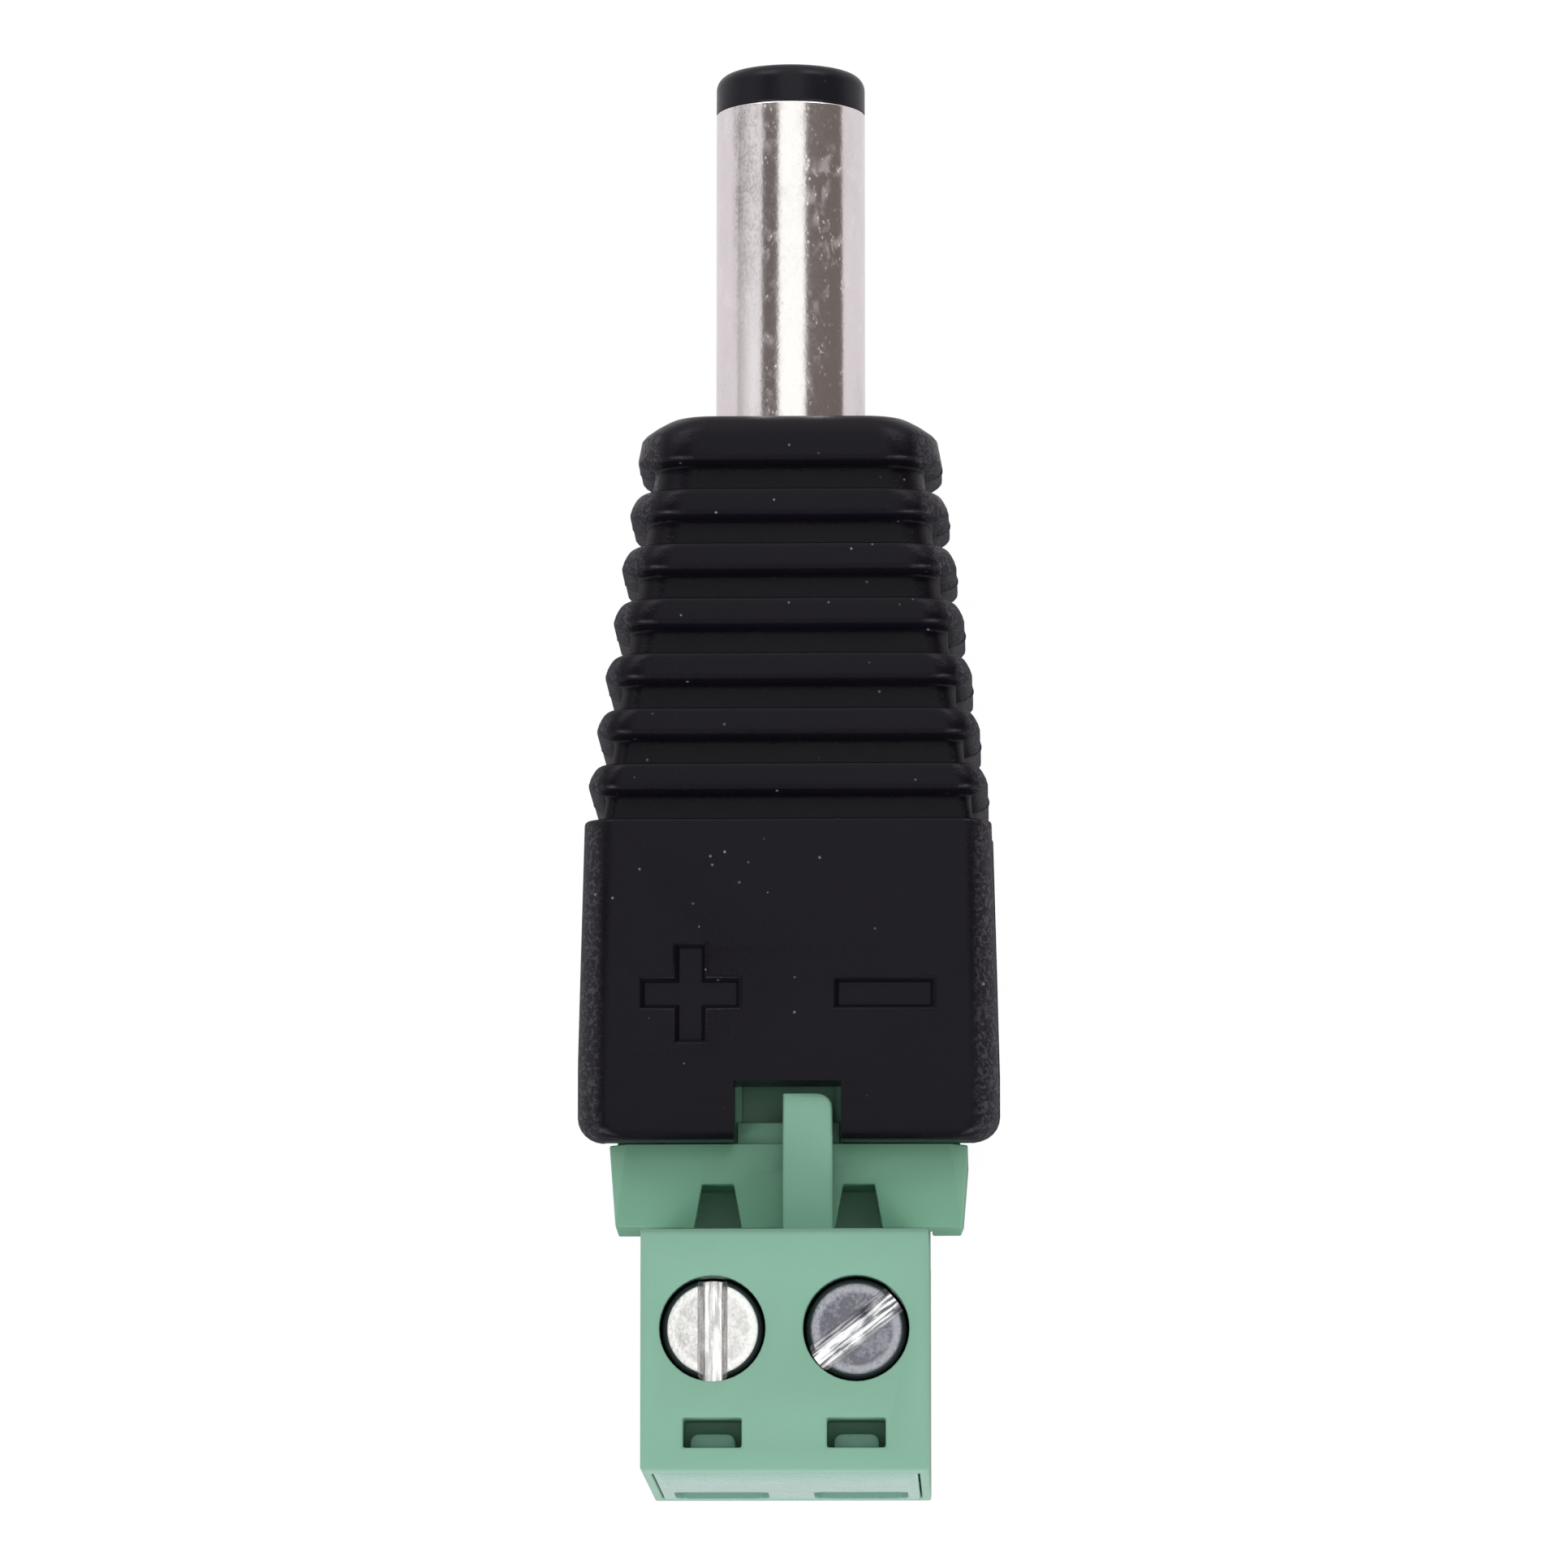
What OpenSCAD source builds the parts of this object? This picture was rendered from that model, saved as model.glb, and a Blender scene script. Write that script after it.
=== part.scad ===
// DC power plug, 5.5 x 2.1 mm, with a pluggable two-way screw terminal.
// Millimetres. The origin is on the barrel's axis, at the shoulder where the
// barrel leaves the housing. +Y runs to the barrel's tip, +Z points out of the
// face that carries the clamp screws, and the plug lies on its back.

/* [Barrel] */
// Outside diameter of the barrel
barrel_d = 5.5; // [4.6:0.1:6.6]
// Length of the barrel from the shoulder to its tip
barrel_length = 13.35; // [11.1:0.05:16.05]
// Wall of the plated sleeve
sleeve_wall = 0.4; // [0.32:0.01:0.48]
// Diameter of the socket for the centre pin
socket_d = 2.1; // [1.75:0.05:2.5]
// Wall of the centre contact
contact_wall = 0.4; // [0.32:0.01:0.48]
// Length of the black ring at the tip
tip_length = 1.45; // [1.2:0.05:1.75]
// Rounding of the ring's outer edge
tip_edge_r = 0.55; // [0.4:0.05:0.6]
// Length of sleeve buried in the housing
buried_length = 8.2; // [7:0.1:9.8]
// How much wider the buried part of the sleeve is
root_step = 0.2; // [0.16:0.01:0.3]
// Height of the collar at the sleeve's rear end
collar_step = 0.65; // [0.5:0.05:0.75]
// Length of that collar
collar_length = 1; // [0.8:0.1:1.2]
// Thickness of the solder tag behind the collar
tag_t = 0.4; // [0.3:0.05:0.5]
// Thickness of the rear insulating washer
washer_t = 1; // [0.8:0.1:1.2]
// Length of the solder tails behind the washer
tail_length = 4; // [3.4:0.1:4.8]

/* [Housing] */
// Number of grip ribs
rib_count = 7; // [5:1:8]
// Height of the first rib, at the shoulder
first_rib_h = 1.84; // [1.5:0.02:2.2]
// Height of each other rib
rib_h = 1.02; // [0.8:0.02:1.2]
// Height of each groove
groove_h = 1.04; // [0.86:0.02:1.24]
// Depth of each groove
groove_depth = 0.72; // [0.5:0.02:0.8]
// Plastic beside the barrel at the shoulder
nose_side = 2.6; // [2.2:0.05:3.1]
// Plastic in front of and behind the barrel at the shoulder
nose_front = 1.3; // [1.2:0.05:1.6]
// Corner radius of the first rib
nose_corner_r = 2.4; // [2:0.1:2.8]
// Corner radius of the body
body_corner_r = 1.15; // [0.9:0.05:1.4]
// Rounding of each rib's wide edge
rib_edge_r = 0.3; // [0.1:0.05:0.4]
// Length of the plain body behind the ribs
body_length = 11.69; // [10:0.01:14]
// Side wall beside the header
side_wall = 1.45; // [1.2:0.01:1.75]
// Front and back wall beside the header
front_wall = 2.04; // [1.7:0.01:2.5]
// Draft of each side from the mouth to the ribs
body_draft = 0.16; // [0:0.01:0.2]
// Length of the polarity marks
mark_length = 3.4; // [2.8:0.1:4]
// Stroke width of the polarity marks
mark_stroke = 0.9; // [0.7:0.05:1.1]
// Depth of the polarity marks
mark_depth = 0.25; // [0.1:0.05:0.4]
// Distance of each mark from the middle
mark_offset = 3.5; // [3:0.1:4.2]
// Distance of the marks from the mouth
mark_from_mouth = 5.3; // [4.6:0.1:6.3]
// Width of the latch notch in the mouth
notch_w = 3.86; // [3.2:0.02:4.6]
// Depth of the latch notch
notch_depth = 2.13; // [1.8:0.01:2.6]

/* [Header] */
// Distance between the two poles
pitch = 5.08; // [4.5:0.02:6.1]
// Side of the square header pins
pin_side = 1; // [0.82:0.02:1.2]
// Length of header inside the housing
header_depth = 8.43; // [7.1:0.01:10.1]
// Length of the header's flange beyond the mouth
flange_length = 3.07; // [2.6:0.01:3.6]
// Side wall of the header
header_side = 1; // [0.84:0.02:1.2]
// Front and back wall of the header
header_front = 0.75; // [0.65:0.01:0.9]
// How far the flange stands proud of the header
flange_step = 0.6; // [0.5:0.01:0.72]
// Draft of each flange side over its length
flange_draft = 0.25; // [0:0.01:0.3]
// Distance of each coding slot's inner edge from the middle, at its closed end
coding_inner = 1.97; // [1.65:0.01:2.35]
// Width of each coding slot at its closed end
coding_w = 1.14; // [0.95:0.01:1.35]
// How far each side of a coding slot splays out towards the mouth
coding_splay = 0.38; // [0.3:0.01:0.46]
// Length of the coding slots
coding_length = 1.6; // [1.35:0.05:1.9]
// Rear wall that carries the pins
header_rear = 2.2; // [1.8:0.1:2.6]
// Length of each pin's tail behind the header
pin_tail = 1.9; // [1.6:0.1:2.3]

/* [Terminal] */
// Gap between the header and the terminal's shoulder
seat_gap = 0.66; // [0.5:0.01:0.8]
// Length of the terminal outside the header
terminal_length = 8.57; // [8.2:0.01:10.3]
// Height of the terminal from its foot to its screw face
terminal_h = 15; // [14:0.1:18]
// Level of the terminal's foot
terminal_foot = -3.9; // [-4.2:0.1:-3.6]
// Length of the tongue that enters the header
tongue_length = 8.45; // [7.2:0.05:9]
// Height of that tongue
tongue_h = 5.7; // [5:0.1:6.8]
// Outer wall beside each clamp
clamp_wall = 0.44; // [0.36:0.02:0.53]
// Distance of the screws from the terminal's shoulder
screw_from_shoulder = 3.55; // [3.4:0.05:3.8]
// Width of the latch arm
arm_w = 1.78; // [1.5:0.02:2.1]
// Thickness of the latch arm
arm_t = 1; // [0.8:0.05:1.2]
// How far the arm bows out at mid-length
arm_bow = 0.45; // [0.2:0.05:0.6]
// Thickness of the wire-entry cover
cover_t = 0.8; // [0.66:0.02:0.96]
// Width of each wire entry
entry_w = 3.4; // [2.8:0.1:3.8]
// Height of each wire entry
entry_h = 3.3; // [2.7:0.1:3.7]

/* [Clamp] */
// Diameter of each screw well
well_d = 3.76; // [3.2:0.02:4.1]
// Diameter of the screw heads
head_d = 3.56; // [3:0.02:3.6]
// Height of the screw heads
head_h = 1.9; // [1.6:0.1:2.2]
// Depth of the heads below the screw face
head_recess = 0.45; // [0.2:0.05:0.6]
// Diameter of the screw shanks
shank_d = 2.9; // [2.4:0.05:3]
// Width of the screwdriver slot
slot_w = 0.8; // [0.6:0.05:1]
// Depth of the screwdriver slot
slot_depth = 0.9; // [0.7:0.05:1.1]
// Direction of the positive screw's slot
positive_slot_angle = 90; // [0:1:180]
// Direction of the negative screw's slot
negative_slot_angle = 38; // [0:1:180]
// Travel of each cage from open to closed
cage_travel = 2.5; // [2:0.1:2.6]
// Length of each cage along the wire
cage_length = 3.9; // [3.3:0.1:4.1]
// Side wall of each cage
cage_side = 0.55; // [0.45:0.05:0.65]
// Thickness of the cage's clamping bar
cage_bar = 0.7; // [0.6:0.05:0.8]
// Thickness of the cage's threaded top
cage_top = 1.6; // [1.3:0.1:1.7]
// Thickness of the contact bar that the wire is pressed against
contact_bar = 0.55; // [0.45:0.01:0.6]
// Thickness of the leaves that grip the pins
leaf_t = 0.35; // [0.3:0.01:0.42]

/* [Leads] */
// Diameter of the bare leads
lead_d = 0.8; // [0.66:0.02:0.96]
// Diameter over the leads' insulation
lead_outer_d = 1.5; // [1.3:0.1:1.8]

/* [Hidden] */

$fn = 48;

// Clearances: between fixed pieces, between the plugging pieces, of the running
// parts of a clamp, and how far a cutter runs past the face that it opens.
fixed_gap = 0.02;
plug_gap = 0.1;
shank_gap = 0.05;
cage_gap = 0.15;
past = 0.5;

// Poles: the positive one is on the left of the screw face.
positive_x = -pitch / 2;
negative_x = pitch / 2;

// Stations along Y, from the tip to the wire entries
sleeve_end_y = barrel_length - tip_length;
collar_y = -(buried_length - collar_length);
tag_y = -buried_length;
washer_y = tag_y - tag_t;
tail_y = washer_y - washer_t;
nose_length = first_rib_h + rib_count * groove_h + (rib_count - 1) * rib_h;
mouth_y = -(nose_length + body_length);
header_back_y = mouth_y + header_depth;
header_mouth_y = mouth_y - flange_length;
shoulder_y = header_mouth_y - seat_gap;
entry_y = shoulder_y - terminal_length;
screw_y = shoulder_y - screw_from_shoulder;
cover_y = entry_y + cover_t;
tongue_y = shoulder_y + tongue_length;

// Header and housing sections, worked outwards from the terminal
terminal_w = 2 * pitch;
socket_w = terminal_w + 2 * plug_gap;
socket_h = tongue_h + 2 * plug_gap;
header_w = socket_w + 2 * header_side;
header_h = socket_h + 2 * header_front;
flange_h = header_h + 2 * flange_step;
flange_w = header_w + flange_step;
body_w = header_w + 2 * (fixed_gap + side_wall);
body_h = header_h + 2 * (fixed_gap + front_wall);
nose_w = barrel_d + 2 * nose_side;
nose_h = barrel_d + 2 * nose_front;

// Clamp levels, worked from the pins' level outwards. The cage's bar stops
// bite_gap short of the contact bar, and window_gap is the room above that bar.
bite_gap = 0.25;
window_gap = 0.4;
screw_face = terminal_foot + terminal_h;
head_top = screw_face - head_recess;
head_seat = head_top - head_h;
bar_low = pin_side / 2 + shank_gap;
bar_top = bar_low + contact_bar;
shank_end = bar_top + shank_gap;
open_bar_top = bar_low - cage_travel - bite_gap;
cage_window_top = bar_top + window_gap;
chamber_low = open_bar_top - cage_bar - 0.2;
chamber_top = cage_window_top + cage_top + cage_travel + 0.3;
chamber_w = pitch - 2 * clamp_wall;
cage_w = chamber_w - 2 * cage_gap;
cage_window_w = cage_w - 2 * cage_side;
bar_w = cage_window_w - 2 * cage_gap;
cage_back_y = screw_y - cage_length / 2;
cage_front_y = screw_y + cage_length / 2;
funnel_y = cage_back_y - 0.25;
chamber_front_y = cage_front_y + 0.35;
entry_drop = 0.4;
entry_z = (open_bar_top + bar_low) / 2 - entry_drop;

// ---- Shared shapes ----

// Extrudes a shape drawn in (x, z) from y0 up to y1
module extrude_y(y0, y1) {
    translate([0, y1, 0])
        rotate([90, 0, 0])
            linear_extrude(height = y1 - y0)
                children();
}

// Extrudes a shape drawn in (y, z) across a width centred on x
module extrude_x(width, x = 0) {
    translate([x - width / 2, 0, 0])
        rotate([90, 0, 90])
            linear_extrude(height = width)
                children();
}

// A round bar on the barrel's axis from y0 up to y1
module round_bar(d, y0, y1) {
    translate([0, y0, 0])
        rotate([-90, 0, 0])
            cylinder(d = d, h = y1 - y0);
}

// A block given by its lowest and highest corners
module block(low, high) {
    translate(low)
        cube(high - low);
}

// A rectangle with exact round corners, centred
module rounded_rect(w, h, r) {
    square([w - 2 * r, h], center = true);
    square([w, h - 2 * r], center = true);
    for (sx = [-1, 1], sz = [-1, 1])
        translate([sx * (w / 2 - r), sz * (h / 2 - r)])
            circle(r = r);
}

// Points of an arc, from angle a0 to a1
function arc_points(cx, cy, r, a0, a1, steps = 6) =
    [for (i = [0 : steps]) let (a = a0 + (a1 - a0) * i / steps) [cx + r * cos(a), cy + r * sin(a)]];

// A point at share t along the curve that leaves b straight on from a and arrives
// at c heading for d
function swing(route, t) =
    let (reach = 0.45 * norm(route[2] - route[1]),
         out = unit(route[1] - route[0]), home = unit(route[3] - route[2]),
         p1 = route[1] + reach * out, p2 = route[2] - reach * home)
    pow(1 - t, 3) * route[1] + 3 * t * pow(1 - t, 2) * p1 + 3 * t * t * (1 - t) * p2 + pow(t, 3) * route[2];
// A vector of length 1
function unit(v) = v / norm(v);

// The circle of a wire at a point, square to the way it runs
wire_sides = 12;
function wire_ring(point, heading, d) =
    let (side = unit(cross(heading, [0, 0, 1])), rise = cross(side, heading))
    [for (k = [0 : wire_sides - 1]) let (a = 360 * k / wire_sides)
        point + d / 2 * (cos(a) * side + sin(a) * rise)];
function wire_rings(path, d) =
    [for (i = [0 : len(path) - 1])
        wire_ring(path[i], unit(path[min(i + 1, len(path) - 1)] - path[max(i - 1, 0)]), d)];

// ---- Outer housing ----

// How far down the nose a station lies, 0 at the shoulder and 1 at the body
function nose_share(y) = -y / nose_length;
// A value between a and b
function blend(a, b, share) = a + (b - a) * share;
function rib_w(y) = blend(nose_w, body_w - 2 * body_draft, nose_share(y));
function rib_depth(y) = blend(nose_h, body_h, nose_share(y));
function rib_corner(y) = blend(nose_corner_r, body_corner_r, nose_share(y));
function rib_top(i) = i == 0 ? 0 : -(first_rib_h + groove_h + (i - 1) * (rib_h + groove_h));
function rib_low(i) = rib_top(i) - (i == 0 ? first_rib_h : rib_h);

// One ring of the nose at station y, drawn in by `inset` all round
corner_steps = 5;
smallest_corner_r = 0.4;
function ring(y, inset, side_inset = 0) =
    let (hw = rib_w(y) / 2 - inset - side_inset, hd = rib_depth(y) / 2 - inset,
         r = max(smallest_corner_r, rib_corner(y) - inset))
    [for (q = [0 : 3], i = [0 : corner_steps])
        let (a = 90 * q + 90 * i / corner_steps,
             cx = (q == 0 || q == 3 ? 1 : -1) * (hw - r), cz = (q < 2 ? 1 : -1) * (hd - r))
        [cx + r * cos(a), y, cz + r * sin(a)]];

// The first rib's bevel: its height, and its width in front and beside
bevel_h = 0.6;
bevel_front = 0.25;
bevel_side = 0.6;
// The slight slope of a groove's walls, and the small bevel on a rib's upper edge
wall_slope = 0.02;
edge_bevel = 0.1;

// Rings of one rib: a bevelled top edge, flanks, a rounded wide edge and the groove floor
function rib_rings(i) =
    let (top = rib_top(i), low = rib_low(i), e = rib_edge_r)
    concat(
        i == 0 ? [ring(0, bevel_front, bevel_side), ring(-bevel_h, 0)]
               : [ring(top, groove_depth), ring(top - wall_slope, edge_bevel),
                  ring(top - wall_slope - edge_bevel, 0)],
        [for (a = [0, 45, 90]) ring(low + e * (1 - sin(a)), e * (1 - cos(a)))],
        [ring(low - wall_slope, groove_depth)]);

// A skin through rings of equal point counts. It is capped at both ends, or where
// `looped` is set it runs on from the last ring to the first, as round a tube's wall.
module skin(rings, looped = false) {
    n = len(rings[0]);
    count = len(rings);
    walls = [for (k = [0 : count - (looped ? 1 : 2)], j = [0 : n - 1])
        let (a = k * n + j, b = k * n + (j + 1) % n,
             c = (k + 1) % count * n + j, d = (k + 1) % count * n + (j + 1) % n)
        each [[a, d, b], [a, c, d]]];
    caps = [[for (j = [0 : n - 1]) j], [for (j = [n - 1 : -1 : 0]) (count - 1) * n + j]];
    polyhedron(
        points = [for (r = rings, p = r) p],
        faces = looped ? walls : concat(caps, walls),
        convexity = 10);
}

module ribbed_nose() {
    skin(concat([for (i = [0 : rib_count - 1]) each rib_rings(i)],
                [ring(-nose_length - past, groove_depth)]));
}

// The plain body: its outline from the front, with drafted sides and a rounded mouth
module body_outline() {
    top = -nose_length;
    mouth_r = 0.8;
    top_r = 0.3;
    w0 = body_w / 2;
    w1 = body_w / 2 - body_draft;
    polygon(concat(
        arc_points(w0 - mouth_r, mouth_y + mouth_r, mouth_r, -90, 0),
        arc_points(w1 - top_r, top - top_r, top_r, 0, 90, 3),
        arc_points(-(w1 - top_r), top - top_r, top_r, 90, 180, 3),
        arc_points(-(w0 - mouth_r), mouth_y + mouth_r, mouth_r, 180, 270)));
}

// The mouth's rim is square to the axis at the front and slants back towards the rear
module plain_body() {
    mouth_slant = 1.2;
    slant_z = body_h / 4;
    intersection() {
        translate([0, 0, -body_h / 2])
            linear_extrude(height = body_h)
                body_outline();
        extrude_y(mouth_y - past, -nose_length + past)
            rounded_rect(body_w, body_h, body_corner_r);
        extrude_x(2 * body_w)
            polygon([[mouth_y, body_h], [mouth_y, slant_z], [mouth_y + mouth_slant, -body_h / 2],
                     [past, -body_h / 2], [past, body_h]]);
    }
}

// Space behind the barrel for the solder tails and leads
wiring_side = 1.85;
wiring_front = 0.45;
wiring_w = pitch + 2 * wiring_side;
wiring_h = barrel_d + 2 * wiring_front;

module outer_housing() color([0.13, 0.12, 0.14]) {
    difference() {
        union() {
            ribbed_nose();
            plain_body();
        }
        round_bar(barrel_d + 2 * (root_step + fixed_gap), tag_y, past);
        round_bar(barrel_d + 2 * (collar_step + fixed_gap), tag_y, collar_y + fixed_gap);
        extrude_y(header_back_y, tag_y)
            square([wiring_w, wiring_h], center = true);
        extrude_y(mouth_y - past, header_back_y + fixed_gap)
            square([header_w + 2 * fixed_gap, header_h + 2 * fixed_gap], center = true);
        block([-notch_w / 2, mouth_y - past, 0], [notch_w / 2, mouth_y + notch_depth, body_h]);
        polarity_marks();
    }
}

module polarity_marks() {
    y = mouth_y + mark_from_mouth;
    translate([0, 0, body_h / 2 - mark_depth])
        linear_extrude(height = mark_depth + past) {
            translate([-mark_offset, y]) {
                square([mark_length, mark_stroke], center = true);
                square([mark_stroke, mark_length], center = true);
            }
            translate([mark_offset, y])
                square([mark_length, mark_stroke], center = true);
        }
}

// ---- Barrel ----

liner_d = barrel_d - 2 * (sleeve_wall + fixed_gap);
contact_d = socket_d + 2 * contact_wall;
tag_step = 0.25;
tag_d = barrel_d + 2 * tag_step;
washer_step = 0.25;
washer_d = barrel_d - 2 * washer_step;

// Solder tails: their width, and the thickness of the centre contact's
tail_w = 1.6;
tail_t = 0.6;
// The bent strip of the sleeve's tag lies this far inside the tag's rim
strip_inset = 0.3;
// How much further back the centre contact's tail ends than the tag's strip
strip_short = 1;

module barrel_sleeve() color([0.78, 0.76, 0.73]) {
    difference() {
        union() {
            round_bar(barrel_d, tag_y, sleeve_end_y);
            round_bar(barrel_d + 2 * root_step, tag_y, -fixed_gap);
            round_bar(barrel_d + 2 * collar_step, tag_y, collar_y);
        }
        round_bar(barrel_d - 2 * sleeve_wall, tag_y - past, sleeve_end_y + past);
    }
}

// The ring at the tip and the liner behind it are one bush, round the centre contact
module tip_insulator() color([0.12, 0.12, 0.13]) {
    contact_r = contact_d / 2 + fixed_gap;
    mouth_r = socket_d / 2 + 0.25;
    mouth_bevel = 0.15;
    rotate([-90, 0, 0])
        rotate_extrude()
            polygon(concat(
                [[contact_r, washer_y], [liner_d / 2, washer_y], [liner_d / 2, sleeve_end_y],
                 [barrel_d / 2, sleeve_end_y]],
                arc_points(barrel_d / 2 - tip_edge_r, barrel_length - tip_edge_r, tip_edge_r, 0, 90),
                [[mouth_r + mouth_bevel, barrel_length], [mouth_r, barrel_length - mouth_bevel],
                 [mouth_r, lip_y], [contact_r, lip_y]]));
}

// The ring's lip covers the end of the centre contact
lip_t = 0.6;
lip_y = barrel_length - lip_t;
contact_end_y = lip_y - 0.05;
socket_depth = 10;

// The centre contact: a socket with two slits, a rivet head behind the washer and a tail
module centre_contact() color([0.8, 0.72, 0.5]) {
    slit_w = 0.4;
    slit_length = 6;
    rivet_step = 0.6;
    rivet_y = tail_y - 0.6;
    difference() {
        union() {
            round_bar(contact_d, rivet_y, contact_end_y);
            round_bar(contact_d + 2 * rivet_step, rivet_y, tail_y - fixed_gap);
            extrude_y(tail_y - tail_length, rivet_y)
                square([tail_w, tail_t], center = true);
        }
        round_bar(socket_d, contact_end_y - socket_depth, contact_end_y + past);
        block([-contact_d, contact_end_y - slit_length, -slit_w / 2],
              [contact_d, contact_end_y + past, slit_w / 2]);
    }
}

// A washer against the sleeve's rear end, with a strip bent back from its rim
strip_x = tag_d / 2 - strip_inset;

module sleeve_tag() color([0.8, 0.79, 0.76]) {
    difference() {
        union() {
            round_bar(tag_d, washer_y + fixed_gap / 2, tag_y - fixed_gap / 2);
            block([strip_x, tail_y - tail_length + strip_short, -tail_w / 2],
                  [strip_x + tag_t, tag_y - fixed_gap / 2, tail_w / 2]);
        }
        round_bar(liner_d + 4 * fixed_gap, washer_y - past, tag_y + past);
    }
}

module rear_insulator() color([0.14, 0.13, 0.13]) {
    difference() {
        round_bar(washer_d, tail_y, washer_y - fixed_gap / 2);
        round_bar(contact_d + 2 * fixed_gap, tail_y - past, washer_y + past);
    }
}

// ---- Header ----

module header_housing() color([0.42, 0.6, 0.5]) {
    difference() {
        union() {
            extrude_y(mouth_y, header_back_y)
                square([header_w, header_h], center = true);
            flange();
            latch_ledge();
        }
        extrude_y(header_mouth_y - past, header_back_y - header_rear)
            square([socket_w, socket_h], center = true);
        for (x = [positive_x, negative_x])
            extrude_y(header_back_y - header_rear - past, header_back_y + past)
                translate([x, 0])
                    square(pin_side, center = true);
        latch_window();
        coding_slots();
    }
}

// The flange: drafted sides, a mouth that slants back below the middle, and edge
// chamfers that run out towards the mouth
module flange() {
    chamfer = 0.62;
    slant = 0.8;
    // the edge chamfers run out at this share of the flange's length
    runout = 0.8;
    w = flange_w / 2;
    difference() {
        intersection() {
            translate([0, 0, -flange_h / 2])
                linear_extrude(height = flange_h)
                    polygon([[-w, mouth_y], [w, mouth_y], [w - flange_draft, header_mouth_y],
                             [-w + flange_draft, header_mouth_y]]);
            extrude_x(2 * flange_w)
                polygon([[mouth_y, -flange_h / 2], [mouth_y, flange_h / 2],
                         [header_mouth_y, flange_h / 2], [header_mouth_y, flange_h / 6],
                         [header_mouth_y + slant, -flange_h / 2]]);
        }
        for (s = [-1, 1])
            translate([s * w, mouth_y, flange_h / 2])
                rotate([0, 0, s * atan2(chamfer / 2, flange_length * runout)])
                    rotate([0, 45, 0])
                        cube([chamfer * sqrt(2), 2 * flange_length, chamfer * sqrt(2)], center = true);
    }
}

// A low step between the header's face and its flange, showing in the latch notch
ledge_length = 0.8;

module latch_ledge() {
    side_gap = 0.08;
    ledge_step = 0.3;
    block([-notch_w / 2 + side_gap, mouth_y, 0],
          [notch_w / 2 - side_gap, mouth_y + ledge_length, header_h / 2 + ledge_step]);
}

// An opening beyond the ledge, through to the socket, under the tip of the latch arm
module latch_window() {
    inset = 0.25;
    reach = 0.4;
    block([-notch_w / 2 + inset, mouth_y + ledge_length, 0],
          [notch_w / 2 - inset, mouth_y + notch_depth + reach, header_h]);
}

// The two open trapezoids in the flange's front wall
module coding_slots() {
    closed_y = header_mouth_y + coding_length;
    open_y = header_mouth_y - past;
    outer = coding_inner + coding_w;
    for (s = [-1, 1])
        linear_extrude(height = flange_h)
            polygon([[s * coding_inner, closed_y], [s * outer, closed_y],
                     [s * (outer + coding_splay), open_y], [s * (coding_inner - coding_splay), open_y]]);
}

// A square pin with a tapered tip inside the terminal
module header_pin(x) color([0.82, 0.82, 0.8]) {
    tip_y = shoulder_y + 1.2;
    tip_length = 0.6;
    tip_share = 0.55;
    h = pin_side / 2;
    t = h * tip_share;
    tail = header_back_y + pin_tail;
    profile = [[tail, -h], [tail, h], [tip_y + tip_length, h], [tip_y, t], [tip_y, -t],
               [tip_y + tip_length, -h]];
    intersection() {
        extrude_x(pin_side, x)
            polygon(profile);
        translate([x, 0, -pin_side])
            linear_extrude(height = 2 * pin_side)
                polygon([for (p = profile) [p[1], p[0]]]);
    }
}

// ---- Leads ----

// Corners of each lead: along its solder tail, across, and along its pin's tail
lead_rise = lead_d / 2 + fixed_gap;
solder_length = 2.5;
lead_end_gap = 0.4;
bend_gap = 0.3;
pin_joint = [
    for (x = [positive_x, negative_x])
        [for (y = [header_back_y + pin_tail + bend_gap, header_back_y + lead_end_gap])
            [x, y, pin_side / 2 + lead_rise]]];
contact_tail_end = tail_y - tail_length;
positive_lead_route = [
    [0, contact_tail_end + solder_length + bend_gap, tail_t / 2 + lead_rise],
    [0, contact_tail_end + bend_gap, tail_t / 2 + lead_rise],
    pin_joint[0][0], pin_joint[0][1]];
strip_end = contact_tail_end + strip_short;
negative_lead_route = [
    [strip_x - lead_rise, strip_end + solder_length - bend_gap, 0],
    [strip_x - lead_rise, strip_end + bend_gap, 0],
    pin_joint[1][0], pin_joint[1][1]];

lead_steps = 10;
module lead_conductor(route) color([0.8, 0.5, 0.35]) {
    skin(wire_rings(concat([route[0]], [for (i = [0 : lead_steps]) swing(route, i / lead_steps)],
                           [route[3]]), lead_d));
}

// The insulation covers the middle of the swing and stops short of both ends
module lead_insulation(route, tint) color(tint) {
    path = [for (i = [2 : lead_steps - 1]) swing(route, i / lead_steps)];
    bore = wire_rings(path, lead_d + 2 * fixed_gap);
    skin(concat(wire_rings(path, lead_outer_d), [for (i = [len(bore) - 1 : -1 : 0]) bore[i]]),
         looped = true);
}

// ---- Terminal ----

window_w = 2.08;
window_length = 1.06;
window_end_y = cover_y + window_length;
hook_w = 1.6;
hook_length = 0.55;
// The cover's place in the wire-entry face: its side rims, foot rim and top rim
side_rim = 0.33;
foot_rim = 0.55;
top_rim = 1.5;
cover_corner_r = 0.6;
cover_low = terminal_foot + foot_rim;
cover_top = screw_face - top_rim;

module terminal_housing() color([0.54, 0.73, 0.64]) {
    difference() {
        union() {
            terminal_block();
            extrude_y(shoulder_y - past, tongue_y)
                square([terminal_w, tongue_h], center = true);
            latch_arm();
        }
        for (x = [positive_x, negative_x])
            clamp_cutouts(x);
        keyways();
        cover_recess();
    }
}

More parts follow.
